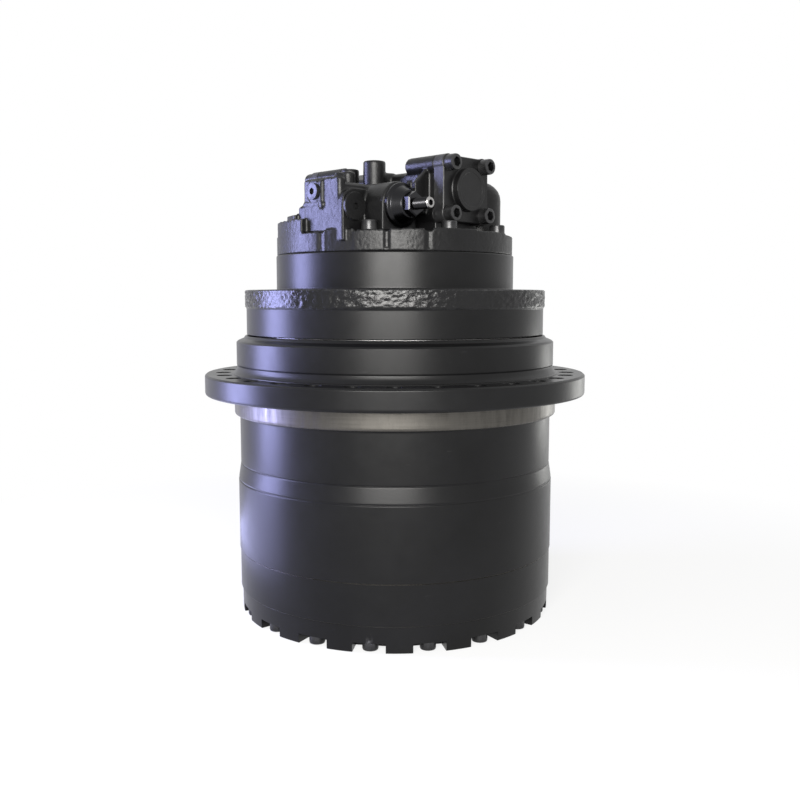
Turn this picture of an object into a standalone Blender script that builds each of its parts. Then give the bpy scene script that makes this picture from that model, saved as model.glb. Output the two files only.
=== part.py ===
"""Excavator final drive: a planetary hub with its travel motor, standing on its cover.

All sizes are in metres. +Z runs up the drive's own axis, from the cover to the hydraulic block.
"""

import math

import bmesh
import bpy
from mathutils import Matrix, Vector

# Clearances
GAP = 0.0003
RUNNING_GAP = 0.0012
PIN_PLAY = 0.0008

# Round pieces
ROUND = 32
INNER = 18
MEDIUM = 16
SMALL = 10
BOLT_SIDES = 8
HOLE_SIDES = 6

# Heights of the outer casings, from the floor up
COVER_HEIGHT = 0.0355
RING_FLANGE_HEIGHT = 0.0555
DRUM_SKIRT_HEIGHT = 0.102
DRUM_TAPER_HEIGHT = 0.0225
DRUM_WAIST_HEIGHT = 0.0695
PILOT_HEIGHT = 0.0282
FLANGE_HEIGHT = 0.0295
COVE_HEIGHT = 0.0133
COLLAR_HEIGHT = 0.0335
COLLAR_TAPER_HEIGHT = 0.0069
NECK_HEIGHT = 0.0376
FRAME_FLANGE_HEIGHT = 0.0253
MOTOR_CASE_HEIGHT = 0.0482
PORT_FLANGE_HEIGHT = 0.0283

COVER_TOP = COVER_HEIGHT
RING_FLANGE_TOP = COVER_TOP + RING_FLANGE_HEIGHT
DRUM_SKIRT_TOP = RING_FLANGE_TOP + DRUM_SKIRT_HEIGHT
DRUM_TAPER_TOP = DRUM_SKIRT_TOP + DRUM_TAPER_HEIGHT
PILOT_BOTTOM = DRUM_TAPER_TOP + DRUM_WAIST_HEIGHT
FLANGE_BOTTOM = PILOT_BOTTOM + PILOT_HEIGHT
FLANGE_TOP = FLANGE_BOTTOM + FLANGE_HEIGHT
COLLAR_BOTTOM = FLANGE_TOP + COVE_HEIGHT
COLLAR_TOP = COLLAR_BOTTOM + COLLAR_HEIGHT
DRUM_TOP = COLLAR_TOP + COLLAR_TAPER_HEIGHT
NECK_BOTTOM = DRUM_TOP + RUNNING_GAP
FRAME_FLANGE_BOTTOM = NECK_BOTTOM + NECK_HEIGHT
FRAME_FLANGE_TOP = FRAME_FLANGE_BOTTOM + FRAME_FLANGE_HEIGHT
MOTOR_CASE_TOP = FRAME_FLANGE_TOP + MOTOR_CASE_HEIGHT
PORT_FLANGE_BOTTOM = MOTOR_CASE_TOP + GAP
PORT_FLANGE_TOP = PORT_FLANGE_BOTTOM + PORT_FLANGE_HEIGHT

# Walls and steps that give the casings their outer radii
DRUM_SKIRT_WALL = 0.029
RING_FLANGE_INSET = 0.001
COVER_INSET = 0.003
DRUM_WALL = 0.0355
PILOT_STEP = 0.0075
FLANGE_REACH = 0.041
FLANGE_EDGE = 0.003
COLLAR_WALL = 0.0275
COLLAR_TAPER = 0.013
COVE_RADIUS = 0.007
NECK_INSET = 0.015
MOTOR_CASE_RADIUS = 0.1706
PORT_FLANGE_RADIUS = 0.170

# Sprocket bolt holes in the drum's flange
SPROCKET_HOLE_COUNT = 30
SPROCKET_HOLE_INSET = 0.0255
SPROCKET_HOLE_RADIUS = 0.0105
SPROCKET_HOLE_START = math.radians(-90)

# Socket screws
SCREW_HEAD_RADIUS = 0.0105
SCREW_HEAD_HEIGHT = 0.014

# Cover, its cut rim and its long screws
COVER_SCREW_COUNT = 18
COVER_SCREW_INSET = 0.013
COVER_SCREW_START = math.radians(-98.6)
COVER_EDGE = 0.002
COVER_HEAD_HEIGHT = 0.0118
SPIGOT_RISE = 0.006
COVER_PLATE = 0.014
COVER_FACE_RISE = 0.006
COVER_FACE_INSET = 0.010
COVER_DISH_WALL = 0.020
NOTCH_DEPTH = 0.013
NOTCH_WIDTH = 0.0435
NOTCH_INSET = 0.015
PLUG_NAMES = ("drain_plug", "level_plug")
PLUG_CIRCLE = 0.120
PLUG_RADIUS = 0.014
PLUG_LENGTH = 0.011

# Spur teeth, 20 degree stub form
MODULE = 0.006
PRESSURE_ANGLE = math.radians(20)
ADDENDUM = 0.8 * MODULE
DEDENDUM = 1.05 * MODULE
TOOTH_THINNING = 0.0002
RING_TEETH = 60
RING_BARREL_WALL = 0.0137
FINAL_SUN_TEETH = 16
FINAL_PLANET_TEETH = 22
FINAL_PLANET_COUNT = 4
FIRST_SUN_TEETH = 12
FIRST_PLANET_TEETH = 24
FIRST_PLANET_COUNT = 3

# Stack of the gear stages above the cover
THRUST_PLATE_HEIGHT = 0.006
THRUST_PLATE_RADIUS = 0.028
FIRST_GEAR_BOTTOM = 0.044
FIRST_GEAR_WIDTH = 0.040
FIRST_CARRIER_PLATE = 0.011
FINAL_GEAR_WIDTH = 0.062
FINAL_CARRIER_PLATE = 0.026
STAGE_GAP = 0.0025
RING_BARREL_OVERHANG = 0.004
PIN_TAIL = 0.003

FIRST_PIN_RADIUS = 0.021
FINAL_PIN_RADIUS = 0.024
FINAL_PIN_TAIL_RADIUS = 0.017
FINAL_PIN_ROOTING = 0.022
FIRST_CARRIER_RIM = 0.012
FIRST_CARRIER_WAIST = 0.72
FIRST_CARRIER_ARM = (-0.28, -0.1, 0.1, 0.28)
FIRST_CARRIER_ARM_ROOT = 0.55
FINAL_CARRIER_RIM = 0.012

# Main bearings between drum and spindle
JOURNAL_WALL = 0.009
BEARING_SECTION = 0.050
BEARING_HEIGHT = 0.034
BEARING_SPAN = 0.094
INNER_RACE_WALL = (0.0255, 0.0175)
OUTER_RACE_WALL = (0.007, 0.015)
ROLLER_LENGTH = 0.026
ROLLER_PLAY = 0.0003
ROLLER_SEAT = 0.0005
BEARING_SHOULDER = 0.012
BEARING_NUT_HEIGHT = 0.012
BEARING_NUT_RIM = 0.022
THREAD_STEP = 0.003

# Floating face seal between drum and spindle
SEAL_INSET = 0.002
SEAL_FACE_WIDTH = 0.020
SEAL_TAPER = 0.008
SEAL_RING_HEIGHT = 0.011
SEAL_POCKET_STEP = 0.0115
SEAL_POCKET_DEPTH = 0.016
CORD_SEAT = 0.7
CORD_HALF_HEIGHT = 0.006
SPIGOT_STEP = 0.002
SPIGOT_DEPTH = 0.016
DRUM_MOUTH_STEP = 0.0065

# Tapped holes in the spindle's frame flange
FRAME_HOLE_COUNT = 16
FRAME_HOLE_OFFSET = 0.0244
FRAME_FLANGE_RIM = 0.0205
FRAME_HOLE_RADIUS = 0.009
FRAME_HOLE_DEPTH = 0.022

# Travel motor inside the spindle
SHAFT_RADIUS = 0.020
SHAFT_WAY = 0.0035
SHAFT_PLAY = 0.0004
SHAFT_END = 0.002
SEAT_STEP = 0.002
INPUT_BORE_RADIUS = 0.062
SHAFT_SEAL_RADIUS = 0.038
SHAFT_SEAL_HEIGHT = 0.010
SHAFT_BEARING_RADIUS = 0.045
SHAFT_BEARING_HEIGHT = 0.024
COUPLING_RADIUS = 0.034
COUPLING_LENGTH = 0.046
MOTOR_FLOOR = 0.012
SWASH_ROOM_RADIUS = 0.100
BRAKE_ROOM_RADIUS = 0.1312
BRAKE_ROOM_DEPTH = 0.1034
VALVE_PLATE_RADIUS = 0.080
VALVE_PLATE_HEIGHT = 0.0078
KIDNEY_HALF_WIDTH = 0.007
KIDNEY_SWEEP = 1.05
BLOCK_RADIUS = 0.084
BLOCK_HEIGHT = 0.096
PISTON_COUNT = 9
PISTON_CIRCLE = 0.055
PISTON_RADIUS = 0.0125
PISTON_LENGTH = 0.066
PISTON_NECK = 0.010
PISTON_STAND = 0.001
PISTON_ROD_SHARE = 0.8
SHOE_RADIUS = 0.0155
SHOE_HEIGHT = 0.009
RETAINER_INSET = 0.001
RETAINER_THICKNESS = 0.0035
RETAINER_RADIUS = 0.074
RETAINER_BORE_RADIUS = 0.032
SWASH_RADIUS = 0.076
SWASH_THICKNESS = 0.022
SWASH_BORE_RADIUS = 0.030
SWASH_ANGLE = math.radians(15)
PIVOT_OFFSET = 0.020
PIVOT_SPREAD = 0.056
PIVOT_BALL_RADIUS = 0.010
PIVOT_BALL_FOOT = 0.94
PIVOT_BALL_SHOULDER = 0.9
PIVOT_BALL_SPAN = 0.4
PIVOT_BALL_CROWN = 0.3
SPEED_PISTON_OFFSET = 0.062
SPEED_PISTON_RADIUS = 0.010
SPEED_PISTON_LENGTH = 0.030
SPEED_PISTON_NOSE = 0.7
DISC_HEIGHT = 0.004
DISC_OUTER_RADIUS = 0.118
STEEL_PLATE_INNER_RADIUS = 0.092
STEEL_PLATE_COUNT = 2
BRAKE_PISTON_HEIGHT = 0.082
BRAKE_PISTON_BORE = 0.098
BRAKE_PISTON_LIP = 0.010
BRAKE_PISTON_STEP = 0.014
DISC_SPRING_MARGIN = 0.004
DISC_SPRING_THICKNESS = 0.003
REAR_BEARING_RADIUS = 0.036
REAR_BEARING_HEIGHT = 0.018

# Hydraulic block, set a quarter turn across the view; its heights are rises above the flange's top
BLOCK_TURN = math.radians(-45)
BLOCK_ROOT = 0.008
PORT_SEAT_DEPTH = 0.002
PORT_SCREW_COUNT = 9
PORT_SCREW_INSET = 0.017
PORT_SCREW_START = math.radians(-57.5)

SPOOL_RISE = 0.0557
SPOOL_RADIUS = 0.013
SPOOL_BORE_RADIUS = 0.0135
SPOOL_LENGTH = 0.150
SPOOL_LAND_SHARE = 0.16
SPOOL_WAIST_SHARE = 0.62
SPRING_WIRE = 0.0016
SPRING_TURNS = 4
SPRING_STEPS = 6
HOUSING_HALF_LENGTH = 0.118
HOUSING_HALF_WIDTH = 0.046
HOUSING_RISE = 0.1007
HOUSING_SADDLE_RISE = 0.0847
HOUSING_HEAD_LENGTH = 0.028
HOUSING_SLOPE_LENGTH = 0.035
HOUSING_EDGE = 0.009

VALVE_CAP_HEIGHT = 0.0265
VALVE_CAP_EAR = 0.017
VALVE_CAP_FACE_RADIUS = 0.028
VALVE_CAP_EDGE = 0.001
CAP_SCREW_SPREAD = 0.0345
CAP_SCREW_RISE = 0.0328
CAP_BOSS_RADIUS = 0.0125
CAP_BOSS_SWEEP = math.radians(75)

VALVE_BODY_RISE = 0.0697
VALVE_BODY_SIDE = 0.160
VALVE_BODY_FRONT = 0.060
VALVE_BODY_BACK = 0.013
FRONT_PAD_THICKNESS = 0.006
FRONT_PAD_LENGTH = 0.056
FRONT_PAD_RISE = 0.0525
FRONT_PAD_ROUND = 0.018
PORT_BODY_RISE = 0.0607
PORT_BODY_FRONT = 0.030
PORT_BODY_BACK = 0.066
PORT_FACE = 0.130
PORT_RISE = 0.0347
PORT_SPREAD = 0.026
PORT_PLUG_RADIUS = 0.016
PORT_PLUG_LENGTH = 0.012
PORT_PLUG_SINK = 0.002

RELIEF_RISE = 0.0317
RELIEF_OFFSET = 0.091
RELIEF_BOSS_RADIUS = 0.031
RELIEF_BOSS_FACE = 0.100
RELIEF_BOSS_ROOT = 0.030
LOBE_SETBACK = 0.033
LOBE_OFFSET = 0.085
LOBE_RADIUS = 0.032
LOBE_RISE = 0.0550
LOBE_CROWN_HEIGHT = 0.024
LOBE_CROWN_RADIUS = 0.014
LOBE_CROWN_SHARE = 0.6
LOBE_SIDES = 12
PANEL_RISE = 0.0175
PANEL_WIDTH = 0.032
PANEL_START = math.radians(-122)
PANEL_SWEEP = math.radians(30)
PANEL_STEPS = 4
RELIEF_FOOT_SHARE = 0.93
RELIEF_TIP_SHARE = 0.55
RELIEF_CONE_LENGTH = 0.021
RELIEF_NUT_RADIUS = 0.0165
RELIEF_NUT_HEIGHT = 0.009
RELIEF_STUD_RADIUS = 0.0075
RELIEF_STUD_LENGTH = 0.034
REAR_RELIEF_OFFSET = 0.070
REAR_RELIEF_SCALE = 0.72
REAR_RELIEF_FACE = 0.095

FRONT_PLUG_MARGIN = 0.019
FRONT_PLUG_RISE = 0.0297
FRONT_PLUG_RADIUS = 0.0182
FRONT_PLUG_HEIGHT = 0.004
SIDE_PLUG_PLACE = 0.012
SIDE_PLUG_RISE = 0.0507
SIDE_PLUG_RADIUS = 0.011
SIDE_PLUG_HEIGHT = 0.006
TALL_BOSS_PLACE = (0.018, -0.058)
TALL_BOSS_RADIUS = 0.0155
TALL_BOSS_HEIGHT = 0.030
SHORT_BOSS_PLACE = (-0.013, -0.075)
SHORT_BOSS_RADIUS = 0.0125
SHORT_BOSS_HEIGHT = 0.020
BOSS_ROOT = 0.020
BOSS_EDGE = 0.002


def involute(angle):
    return math.tan(angle) - angle


def material(name, colour, roughness, metallic):
    found = bpy.data.materials.get(name)
    if found:
        return found
    made = bpy.data.materials.new(name)
    made.use_nodes = True
    shader = made.node_tree.nodes["Principled BSDF"]
    shader.inputs["Base Color"].default_value = (*colour, 1.0)
    shader.inputs["Roughness"].default_value = roughness
    shader.inputs["Metallic"].default_value = metallic
    return made


def casing_paint():
    return material("casing_paint", (0.020, 0.020, 0.024), 0.38, 0.25)


def cast_paint():
    return material("cast_paint", (0.024, 0.024, 0.026), 0.50, 0.20)


def bearing_steel():
    return material("bearing_steel", (0.60, 0.60, 0.62), 0.22, 1.0)


def gear_steel():
    return material("gear_steel", (0.34, 0.34, 0.36), 0.35, 1.0)


def screw_steel():
    return material("screw_steel", (0.035, 0.035, 0.037), 0.30, 0.8)


def seal_rubber():
    return material("seal_rubber", (0.020, 0.020, 0.020), 0.75, 0.0)


def bronze():
    return material("bronze", (0.55, 0.36, 0.16), 0.35, 1.0)


def friction_lining():
    return material("friction_lining", (0.22, 0.17, 0.11), 0.80, 0.1)


def circle(radius, height, sides, phase=0.0, centre=(0.0, 0.0)):
    """Points of one level circle, anticlockwise from the phase angle."""
    points = []
    for step in range(sides):
        angle = phase + 2 * math.pi * step / sides
        x = centre[0] + radius * math.cos(angle)
        y = centre[1] + radius * math.sin(angle)
        points.append((x, y, height))
    return points


def at_height(points, height):
    return [(x, y, height) for x, y, _ in points]


def polar(radius, angle):
    return (radius * math.cos(angle), radius * math.sin(angle))


class Shell:
    """A closed surface made of point loops, walls between loops and flat caps across them."""

    def __init__(self):
        self.bm = bmesh.new()

    def loop(self, points):
        return [self.bm.verts.new(point) for point in points]

    def wall(self, first, second):
        count = len(first)
        for i in range(count):
            j = (i + 1) % count
            self.bm.faces.new((first[i], first[j], second[j], second[i]))

    def cap(self, outer, *holes):
        """Fill a level face inside the outer loop and around any holes."""
        edges = []
        for loop in (outer, *holes):
            for i, vert in enumerate(loop):
                following = loop[(i + 1) % len(loop)]
                edge = self.bm.edges.get((vert, following))
                edges.append(edge or self.bm.edges.new((vert, following)))
        bmesh.ops.triangle_fill(self.bm, use_beauty=True, edges=edges)

    def turn(self, profile, sides, phase=0.0, centre=(0.0, 0.0)):
        """Walls of one turned chain of (radius, height) points; gives back its end loops."""
        loops = [self.loop(circle(r, z, sides, phase, centre)) for r, z in profile]
        for first, second in zip(loops, loops[1:]):
            self.wall(first, second)
        return loops[0], loops[-1]

    def blind_hole(self, radius, mouth, floor, centre, sides=HOLE_SIDES):
        """Wall and floor of a drilled pocket; gives back the mouth for the face around it."""
        phase = math.atan2(centre[1], centre[0])
        start, end = self.turn([(radius, mouth), (radius, floor)], sides, phase, centre)
        self.cap(end)
        return start

    def stud(self, profile, centre, sides=BOLT_SIDES):
        """Post that stands out of a face; gives back its root for the face around it."""
        start, end = self.turn(profile, sides, math.atan2(centre[1], centre[0]), centre)
        self.cap(end)
        return start

    def post(self, profile, centre):
        """Round pin fixed in a face, turned half a facet so that it clears a bore's flats."""
        start, end = self.turn(profile, SMALL, math.pi / SMALL, centre)
        self.cap(end)
        return start

    def through_hole(self, radius, start, end, centre, sides=HOLE_SIDES):
        phase = math.atan2(centre[1], centre[0])
        return self.turn([(radius, start), (radius, end)], sides, phase, centre)

    def object(self, name, finish, parent=None, location=(0, 0, 0), rotation=(0, 0, 0)):
        bmesh.ops.recalc_face_normals(self.bm, faces=self.bm.faces)
        mesh = bpy.data.meshes.new(name)
        self.bm.to_mesh(mesh)
        self.bm.free()
        mesh.shade_smooth()
        mesh.set_sharp_from_angle(angle=math.radians(35))
        return place(name, mesh, finish, parent, location, rotation)


def place(name, mesh, finish, parent=None, location=(0, 0, 0), rotation=(0, 0, 0)):
    piece = bpy.data.objects.new(name, mesh)
    if finish and not mesh.materials:
        mesh.materials.append(finish)
    bpy.context.scene.collection.objects.link(piece)
    piece.location = location
    piece.rotation_euler = rotation
    if parent:
        piece.parent = parent
    return piece


def empty(name, location=(0, 0, 0), rotation=(0, 0, 0), parent=None):
    return place(name, None, None, parent, location, rotation)


def turned_ring(shell, profile, sides, phase=0.0, centre=(0.0, 0.0)):
    """A ring whose closed profile doesn't touch the axis."""
    first, last = shell.turn(profile, sides, phase, centre)
    shell.wall(last, first)


def turned_bar(shell, profile, sides, phase=0.0, centre=(0.0, 0.0)):
    """A solid bar from a chain of (radius, height) points."""
    first, last = shell.turn(profile, sides, phase, centre)
    shell.cap(first)
    shell.cap(last)


def tooth_outline(teeth, tip_radius, root_radius, thinning, phase=0.0, flank_points=2):
    """Outline of spur teeth with one tooth centred on the phase angle."""
    pitch_radius = MODULE * teeth / 2
    base_radius = pitch_radius * math.cos(PRESSURE_ANGLE)
    half_tooth = math.pi / (2 * teeth) + involute(PRESSURE_ANGLE) - thinning / pitch_radius
    rise = (tip_radius - root_radius) / (flank_points - 1)
    flank = []
    for i in range(flank_points):
        radius = root_radius + i * rise
        pressure = math.acos(min(1.0, base_radius / radius))
        flank.append((radius, half_tooth - involute(pressure)))
    points = []
    for tooth in range(teeth):
        middle = phase + 2 * math.pi * tooth / teeth
        points += [(*polar(radius, middle - half), 0.0) for radius, half in flank]
        points += [(*polar(radius, middle + half), 0.0) for radius, half in reversed(flank)]
    return points


def outer_teeth(teeth, phase=0.0, flank_points=2):
    pitch_radius = MODULE * teeth / 2
    return tooth_outline(
        teeth, pitch_radius + ADDENDUM, pitch_radius - DEDENDUM, TOOTH_THINNING, phase, flank_points
    )


def inner_tooth_spaces(teeth, clearance=0.0, flank_points=2):
    """Spaces between inner teeth, cut so that outer teeth of the same count and pitch fit in them."""
    pitch_radius = MODULE * teeth / 2
    return tooth_outline(
        teeth, pitch_radius + DEDENDUM, pitch_radius - ADDENDUM, -TOOTH_THINNING - clearance,
        0.0, flank_points
    )


def planet_phase(place_angle, planet_teeth):
    """Turn that lines a planet's tooth up with a space of the ring gear."""
    return place_angle - place_angle * RING_TEETH / planet_teeth


def sun_phase(place_angle, planet_teeth, sun_teeth):
    """Turn that lines a sun's tooth up with a space of the planet at this angle."""
    into_planet = (place_angle + math.pi - planet_phase(place_angle, planet_teeth)) * planet_teeth
    into_sun = math.pi - into_planet
    return place_angle - into_sun / sun_teeth


FIRST_CENTRES = MODULE * (FIRST_SUN_TEETH + FIRST_PLANET_TEETH) / 2
FINAL_CENTRES = MODULE * (FINAL_SUN_TEETH + FINAL_PLANET_TEETH) / 2
JOURNAL_RADIUS = FINAL_CENTRES + FINAL_PIN_TAIL_RADIUS + JOURNAL_WALL
BEARING_NUT_RADIUS = JOURNAL_RADIUS + BEARING_NUT_RIM
THREAD_RADIUS = JOURNAL_RADIUS - THREAD_STEP
BEARING_OUTER_RADIUS = JOURNAL_RADIUS + BEARING_SECTION
SEAL_FACE_RADIUS = BEARING_OUTER_RADIUS - SEAL_INSET
SEAL_INNER_RADIUS = SEAL_FACE_RADIUS - SEAL_FACE_WIDTH
SEAL_BACK_RADIUS = SEAL_FACE_RADIUS - SEAL_TAPER
SEAL_POCKET_RADIUS = BEARING_OUTER_RADIUS + SEAL_POCKET_STEP
SPIGOT_RADIUS = SEAL_POCKET_RADIUS + SPIGOT_STEP
DRUM_MOUTH_RADIUS = SEAL_POCKET_RADIUS + DRUM_MOUTH_STEP
COLLAR_RADIUS = SEAL_POCKET_RADIUS + COLLAR_WALL
NECK_RADIUS = COLLAR_RADIUS - NECK_INSET
DRUM_WAIST_RADIUS = BEARING_OUTER_RADIUS + DRUM_WALL
PILOT_RADIUS = DRUM_WAIST_RADIUS + PILOT_STEP
FLANGE_RADIUS = PILOT_RADIUS + FLANGE_REACH
FRAME_HOLE_CIRCLE = MOTOR_CASE_RADIUS + FRAME_HOLE_OFFSET
FRAME_FLANGE_RADIUS = FRAME_HOLE_CIRCLE + FRAME_FLANGE_RIM
SPROCKET_HOLE_CIRCLE = FLANGE_RADIUS - SPROCKET_HOLE_INSET
FINAL_CARRIER_RADIUS = FINAL_CENTRES + FINAL_PIN_RADIUS + FINAL_CARRIER_RIM
RING_ROOT_RADIUS = MODULE * RING_TEETH / 2 + DEDENDUM
RING_BARREL_RADIUS = RING_ROOT_RADIUS + RING_BARREL_WALL
DRUM_SKIRT_RADIUS = RING_BARREL_RADIUS + DRUM_SKIRT_WALL
RING_FLANGE_RADIUS = DRUM_SKIRT_RADIUS - RING_FLANGE_INSET
COVER_RADIUS = DRUM_SKIRT_RADIUS - COVER_INSET
COVER_SCREW_CIRCLE = COVER_RADIUS - COVER_SCREW_INSET
NOTCH_INNER_RADIUS = COVER_SCREW_CIRCLE - NOTCH_INSET
COVER_FACE_RADIUS = NOTCH_INNER_RADIUS - COVER_FACE_INSET
COVER_DISH_RADIUS = COVER_FACE_RADIUS - COVER_DISH_WALL
COVER_FLOOR = COVER_FACE_RISE + COVER_PLATE
THRUST_PLATE_TOP = COVER_FLOOR + GAP + THRUST_PLATE_HEIGHT
FIRST_GEAR_TOP = FIRST_GEAR_BOTTOM + FIRST_GEAR_WIDTH
FIRST_CARRIER_BOTTOM = FIRST_GEAR_TOP + STAGE_GAP
FIRST_CARRIER_TOP = FIRST_CARRIER_BOTTOM + FIRST_CARRIER_PLATE
FINAL_GEAR_BOTTOM = FIRST_CARRIER_TOP + STAGE_GAP
FINAL_GEAR_TOP = FINAL_GEAR_BOTTOM + FINAL_GEAR_WIDTH
RING_BARREL_TOP = FINAL_GEAR_TOP + RING_BARREL_OVERHANG
FINAL_CARRIER_BOTTOM = FINAL_GEAR_TOP + STAGE_GAP
FINAL_CARRIER_TOP = FINAL_CARRIER_BOTTOM + FINAL_CARRIER_PLATE
SPINDLE_BOTTOM = FINAL_CARRIER_TOP + GAP
DRUM_BORE_STEP = RING_BARREL_TOP + RUNNING_GAP
DRUM_BORE_RADIUS = RING_BARREL_RADIUS + GAP
NUT_TOP = SPINDLE_BOTTOM + BEARING_NUT_HEIGHT
LOWER_BEARING_BOTTOM = NUT_TOP + GAP
LOWER_BEARING_TOP = LOWER_BEARING_BOTTOM + BEARING_HEIGHT
UPPER_BEARING_BOTTOM = LOWER_BEARING_BOTTOM + BEARING_SPAN
UPPER_BEARING_TOP = UPPER_BEARING_BOTTOM + BEARING_HEIGHT
SPIGOT_BOTTOM = NECK_BOTTOM - SPIGOT_DEPTH
DRUM_MOUTH_BOTTOM = SPIGOT_BOTTOM - RUNNING_GAP
SEAL_FACE_HEIGHT = DRUM_MOUTH_BOTTOM
SEAL_FLOOR_DRUM = SEAL_FACE_HEIGHT - SEAL_POCKET_DEPTH
SEAL_ROOF_SPINDLE = SEAL_FACE_HEIGHT + SEAL_POCKET_DEPTH
BRAKE_ROOM_BOTTOM = MOTOR_CASE_TOP - BRAKE_ROOM_DEPTH
VALVE_PLATE_BOTTOM = MOTOR_CASE_TOP - VALVE_PLATE_HEIGHT
BLOCK_TOP = VALVE_PLATE_BOTTOM - GAP
BLOCK_BOTTOM = BLOCK_TOP - BLOCK_HEIGHT
PISTON_BOTTOM = BLOCK_BOTTOM - PISTON_STAND
SHOE_TOP = PISTON_BOTTOM - PISTON_NECK
SHOE_BOTTOM = SHOE_TOP - SHOE_HEIGHT
SWASH_REACH = PISTON_CIRCLE + SHOE_RADIUS
PIVOT_HEIGHT = (
    SHOE_BOTTOM - RUNNING_GAP
    - (SWASH_REACH - PIVOT_OFFSET) * math.tan(SWASH_ANGLE)
    - SWASH_THICKNESS / math.cos(SWASH_ANGLE)
)
PIVOT_BALL_HEIGHT = PIVOT_HEIGHT - PIVOT_BALL_RADIUS
SWASH_ROOM_BOTTOM = PIVOT_HEIGHT - (SWASH_RADIUS + PIVOT_OFFSET) * math.tan(SWASH_ANGLE) - RUNNING_GAP
SHAFT_BEARING_TOP = SWASH_ROOM_BOTTOM - SEAT_STEP
SHAFT_BEARING_BOTTOM = SHAFT_BEARING_TOP - SHAFT_BEARING_HEIGHT
SHAFT_SEAL_TOP = SHAFT_BEARING_BOTTOM - SEAT_STEP
SHAFT_SEAL_BOTTOM = SHAFT_SEAL_TOP - SHAFT_SEAL_HEIGHT
INPUT_BORE_TOP = SHAFT_SEAL_BOTTOM - MOTOR_FLOOR
SHAFT_JOINT_HEIGHT = INPUT_BORE_TOP - COUPLING_LENGTH / 2
BLOCK_SEAT = PORT_FLANGE_TOP - PORT_SEAT_DEPTH
SPOOL_HEIGHT = PORT_FLANGE_TOP + SPOOL_RISE
HOUSING_TOP = PORT_FLANGE_TOP + HOUSING_RISE
HOUSING_SADDLE = PORT_FLANGE_TOP + HOUSING_SADDLE_RISE
VALVE_BODY_TOP = PORT_FLANGE_TOP + VALVE_BODY_RISE
PORT_BODY_TOP = PORT_FLANGE_TOP + PORT_BODY_RISE
PORT_HEIGHT = PORT_FLANGE_TOP + PORT_RISE
PORT_MIDDLE = (PORT_BODY_FRONT - PORT_BODY_BACK) / 2
LOBE_PLACE = (HOUSING_HALF_LENGTH - LOBE_SETBACK, LOBE_OFFSET)
PORT_PLACES = (PORT_MIDDLE - PORT_SPREAD, PORT_MIDDLE + PORT_SPREAD)
RELIEF_HEIGHT = PORT_FLANGE_TOP + RELIEF_RISE
FRONT_PLUG_OFFSET = VALVE_BODY_SIDE - FRONT_PLUG_MARGIN
FRONT_PLUG_LEVEL = PORT_FLANGE_TOP + FRONT_PLUG_RISE
SIDE_PLUG_LEVEL = PORT_FLANGE_TOP + SIDE_PLUG_RISE


def screw_places(count, circle_radius, start):
    return [polar(circle_radius, start + 2 * math.pi * i / count) for i in range(count)]


COVER_SCREWS = screw_places(COVER_SCREW_COUNT, COVER_SCREW_CIRCLE, COVER_SCREW_START)
PORT_SCREWS = screw_places(PORT_SCREW_COUNT, PORT_FLANGE_RADIUS - PORT_SCREW_INSET, PORT_SCREW_START)
FINAL_PLACES = [math.pi / 4 + 2 * math.pi * i / FINAL_PLANET_COUNT for i in range(FINAL_PLANET_COUNT)]
FIRST_PLACES = [math.pi / 2 + 2 * math.pi * i / FIRST_PLANET_COUNT for i in range(FIRST_PLANET_COUNT)]


def boolean(target, tool, operation):
    change = target.modifiers.new(operation.lower(), "BOOLEAN")
    change.operation = operation
    change.solver = "EXACT"
    change.object = tool
    tool.hide_render = True
    tool.display_type = "WIRE"


# Turning casings


def make_cover():
    """Dished end cover; its rim is cut away around each screw head, and the heads are part of it."""
    shell = Shell()
    spigot = RING_ROOT_RADIUS - DEDENDUM - ADDENDUM - GAP
    spigot_top = COVER_TOP + SPIGOT_RISE
    outer, rim = shell.turn(
        [
            (COVER_FACE_RADIUS, COVER_FACE_RISE),
            (COVER_FACE_RADIUS + COVER_FACE_RISE, 0.0),
            (COVER_RADIUS - COVER_EDGE, 0.0),
            (COVER_RADIUS, COVER_EDGE),
            (COVER_RADIUS, COVER_TOP),
        ],
        ROUND,
    )
    step, floor = shell.turn(
        [
            (spigot, COVER_TOP),
            (spigot, spigot_top),
            (COVER_DISH_RADIUS, spigot_top),
            (COVER_DISH_RADIUS, COVER_FLOOR),
        ],
        INNER,
    )
    pockets = [
        shell.blind_hole(
            PLUG_RADIUS + GAP, COVER_FACE_RISE, COVER_FACE_RISE + PLUG_LENGTH, place_of_plug, BOLT_SIDES
        )
        for place_of_plug in plug_places()
    ]
    shell.cap(outer, *pockets)
    shell.cap(rim, step)
    shell.cap(floor)
    cover = shell.object("cover", cast_paint())
    notches = Shell()
    for x, y in COVER_SCREWS:
        angle = math.atan2(y, x)
        along = Vector((math.cos(angle), math.sin(angle)))
        across = Vector((-along.y, along.x)) * NOTCH_WIDTH / 2
        near = along * NOTCH_INNER_RADIUS
        far = along * (COVER_RADIUS + NOTCH_DEPTH)
        corners = [(*point, 0.0) for point in (near - across, far - across, far + across, near + across)]
        low = notches.loop(at_height(corners, -NOTCH_DEPTH))
        high = notches.loop(at_height(corners, NOTCH_DEPTH))
        notches.wall(low, high)
        notches.cap(low)
        head_face = NOTCH_DEPTH - COVER_HEAD_HEIGHT
        head = notches.blind_hole(SCREW_HEAD_RADIUS, NOTCH_DEPTH, head_face, (x, y), BOLT_SIDES)
        notches.cap(high, head)
    boolean(cover, notches.object("cover_notch_cutter", cast_paint()), "DIFFERENCE")


def plug_places():
    return screw_places(len(PLUG_NAMES), PLUG_CIRCLE, 0.0)


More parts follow.
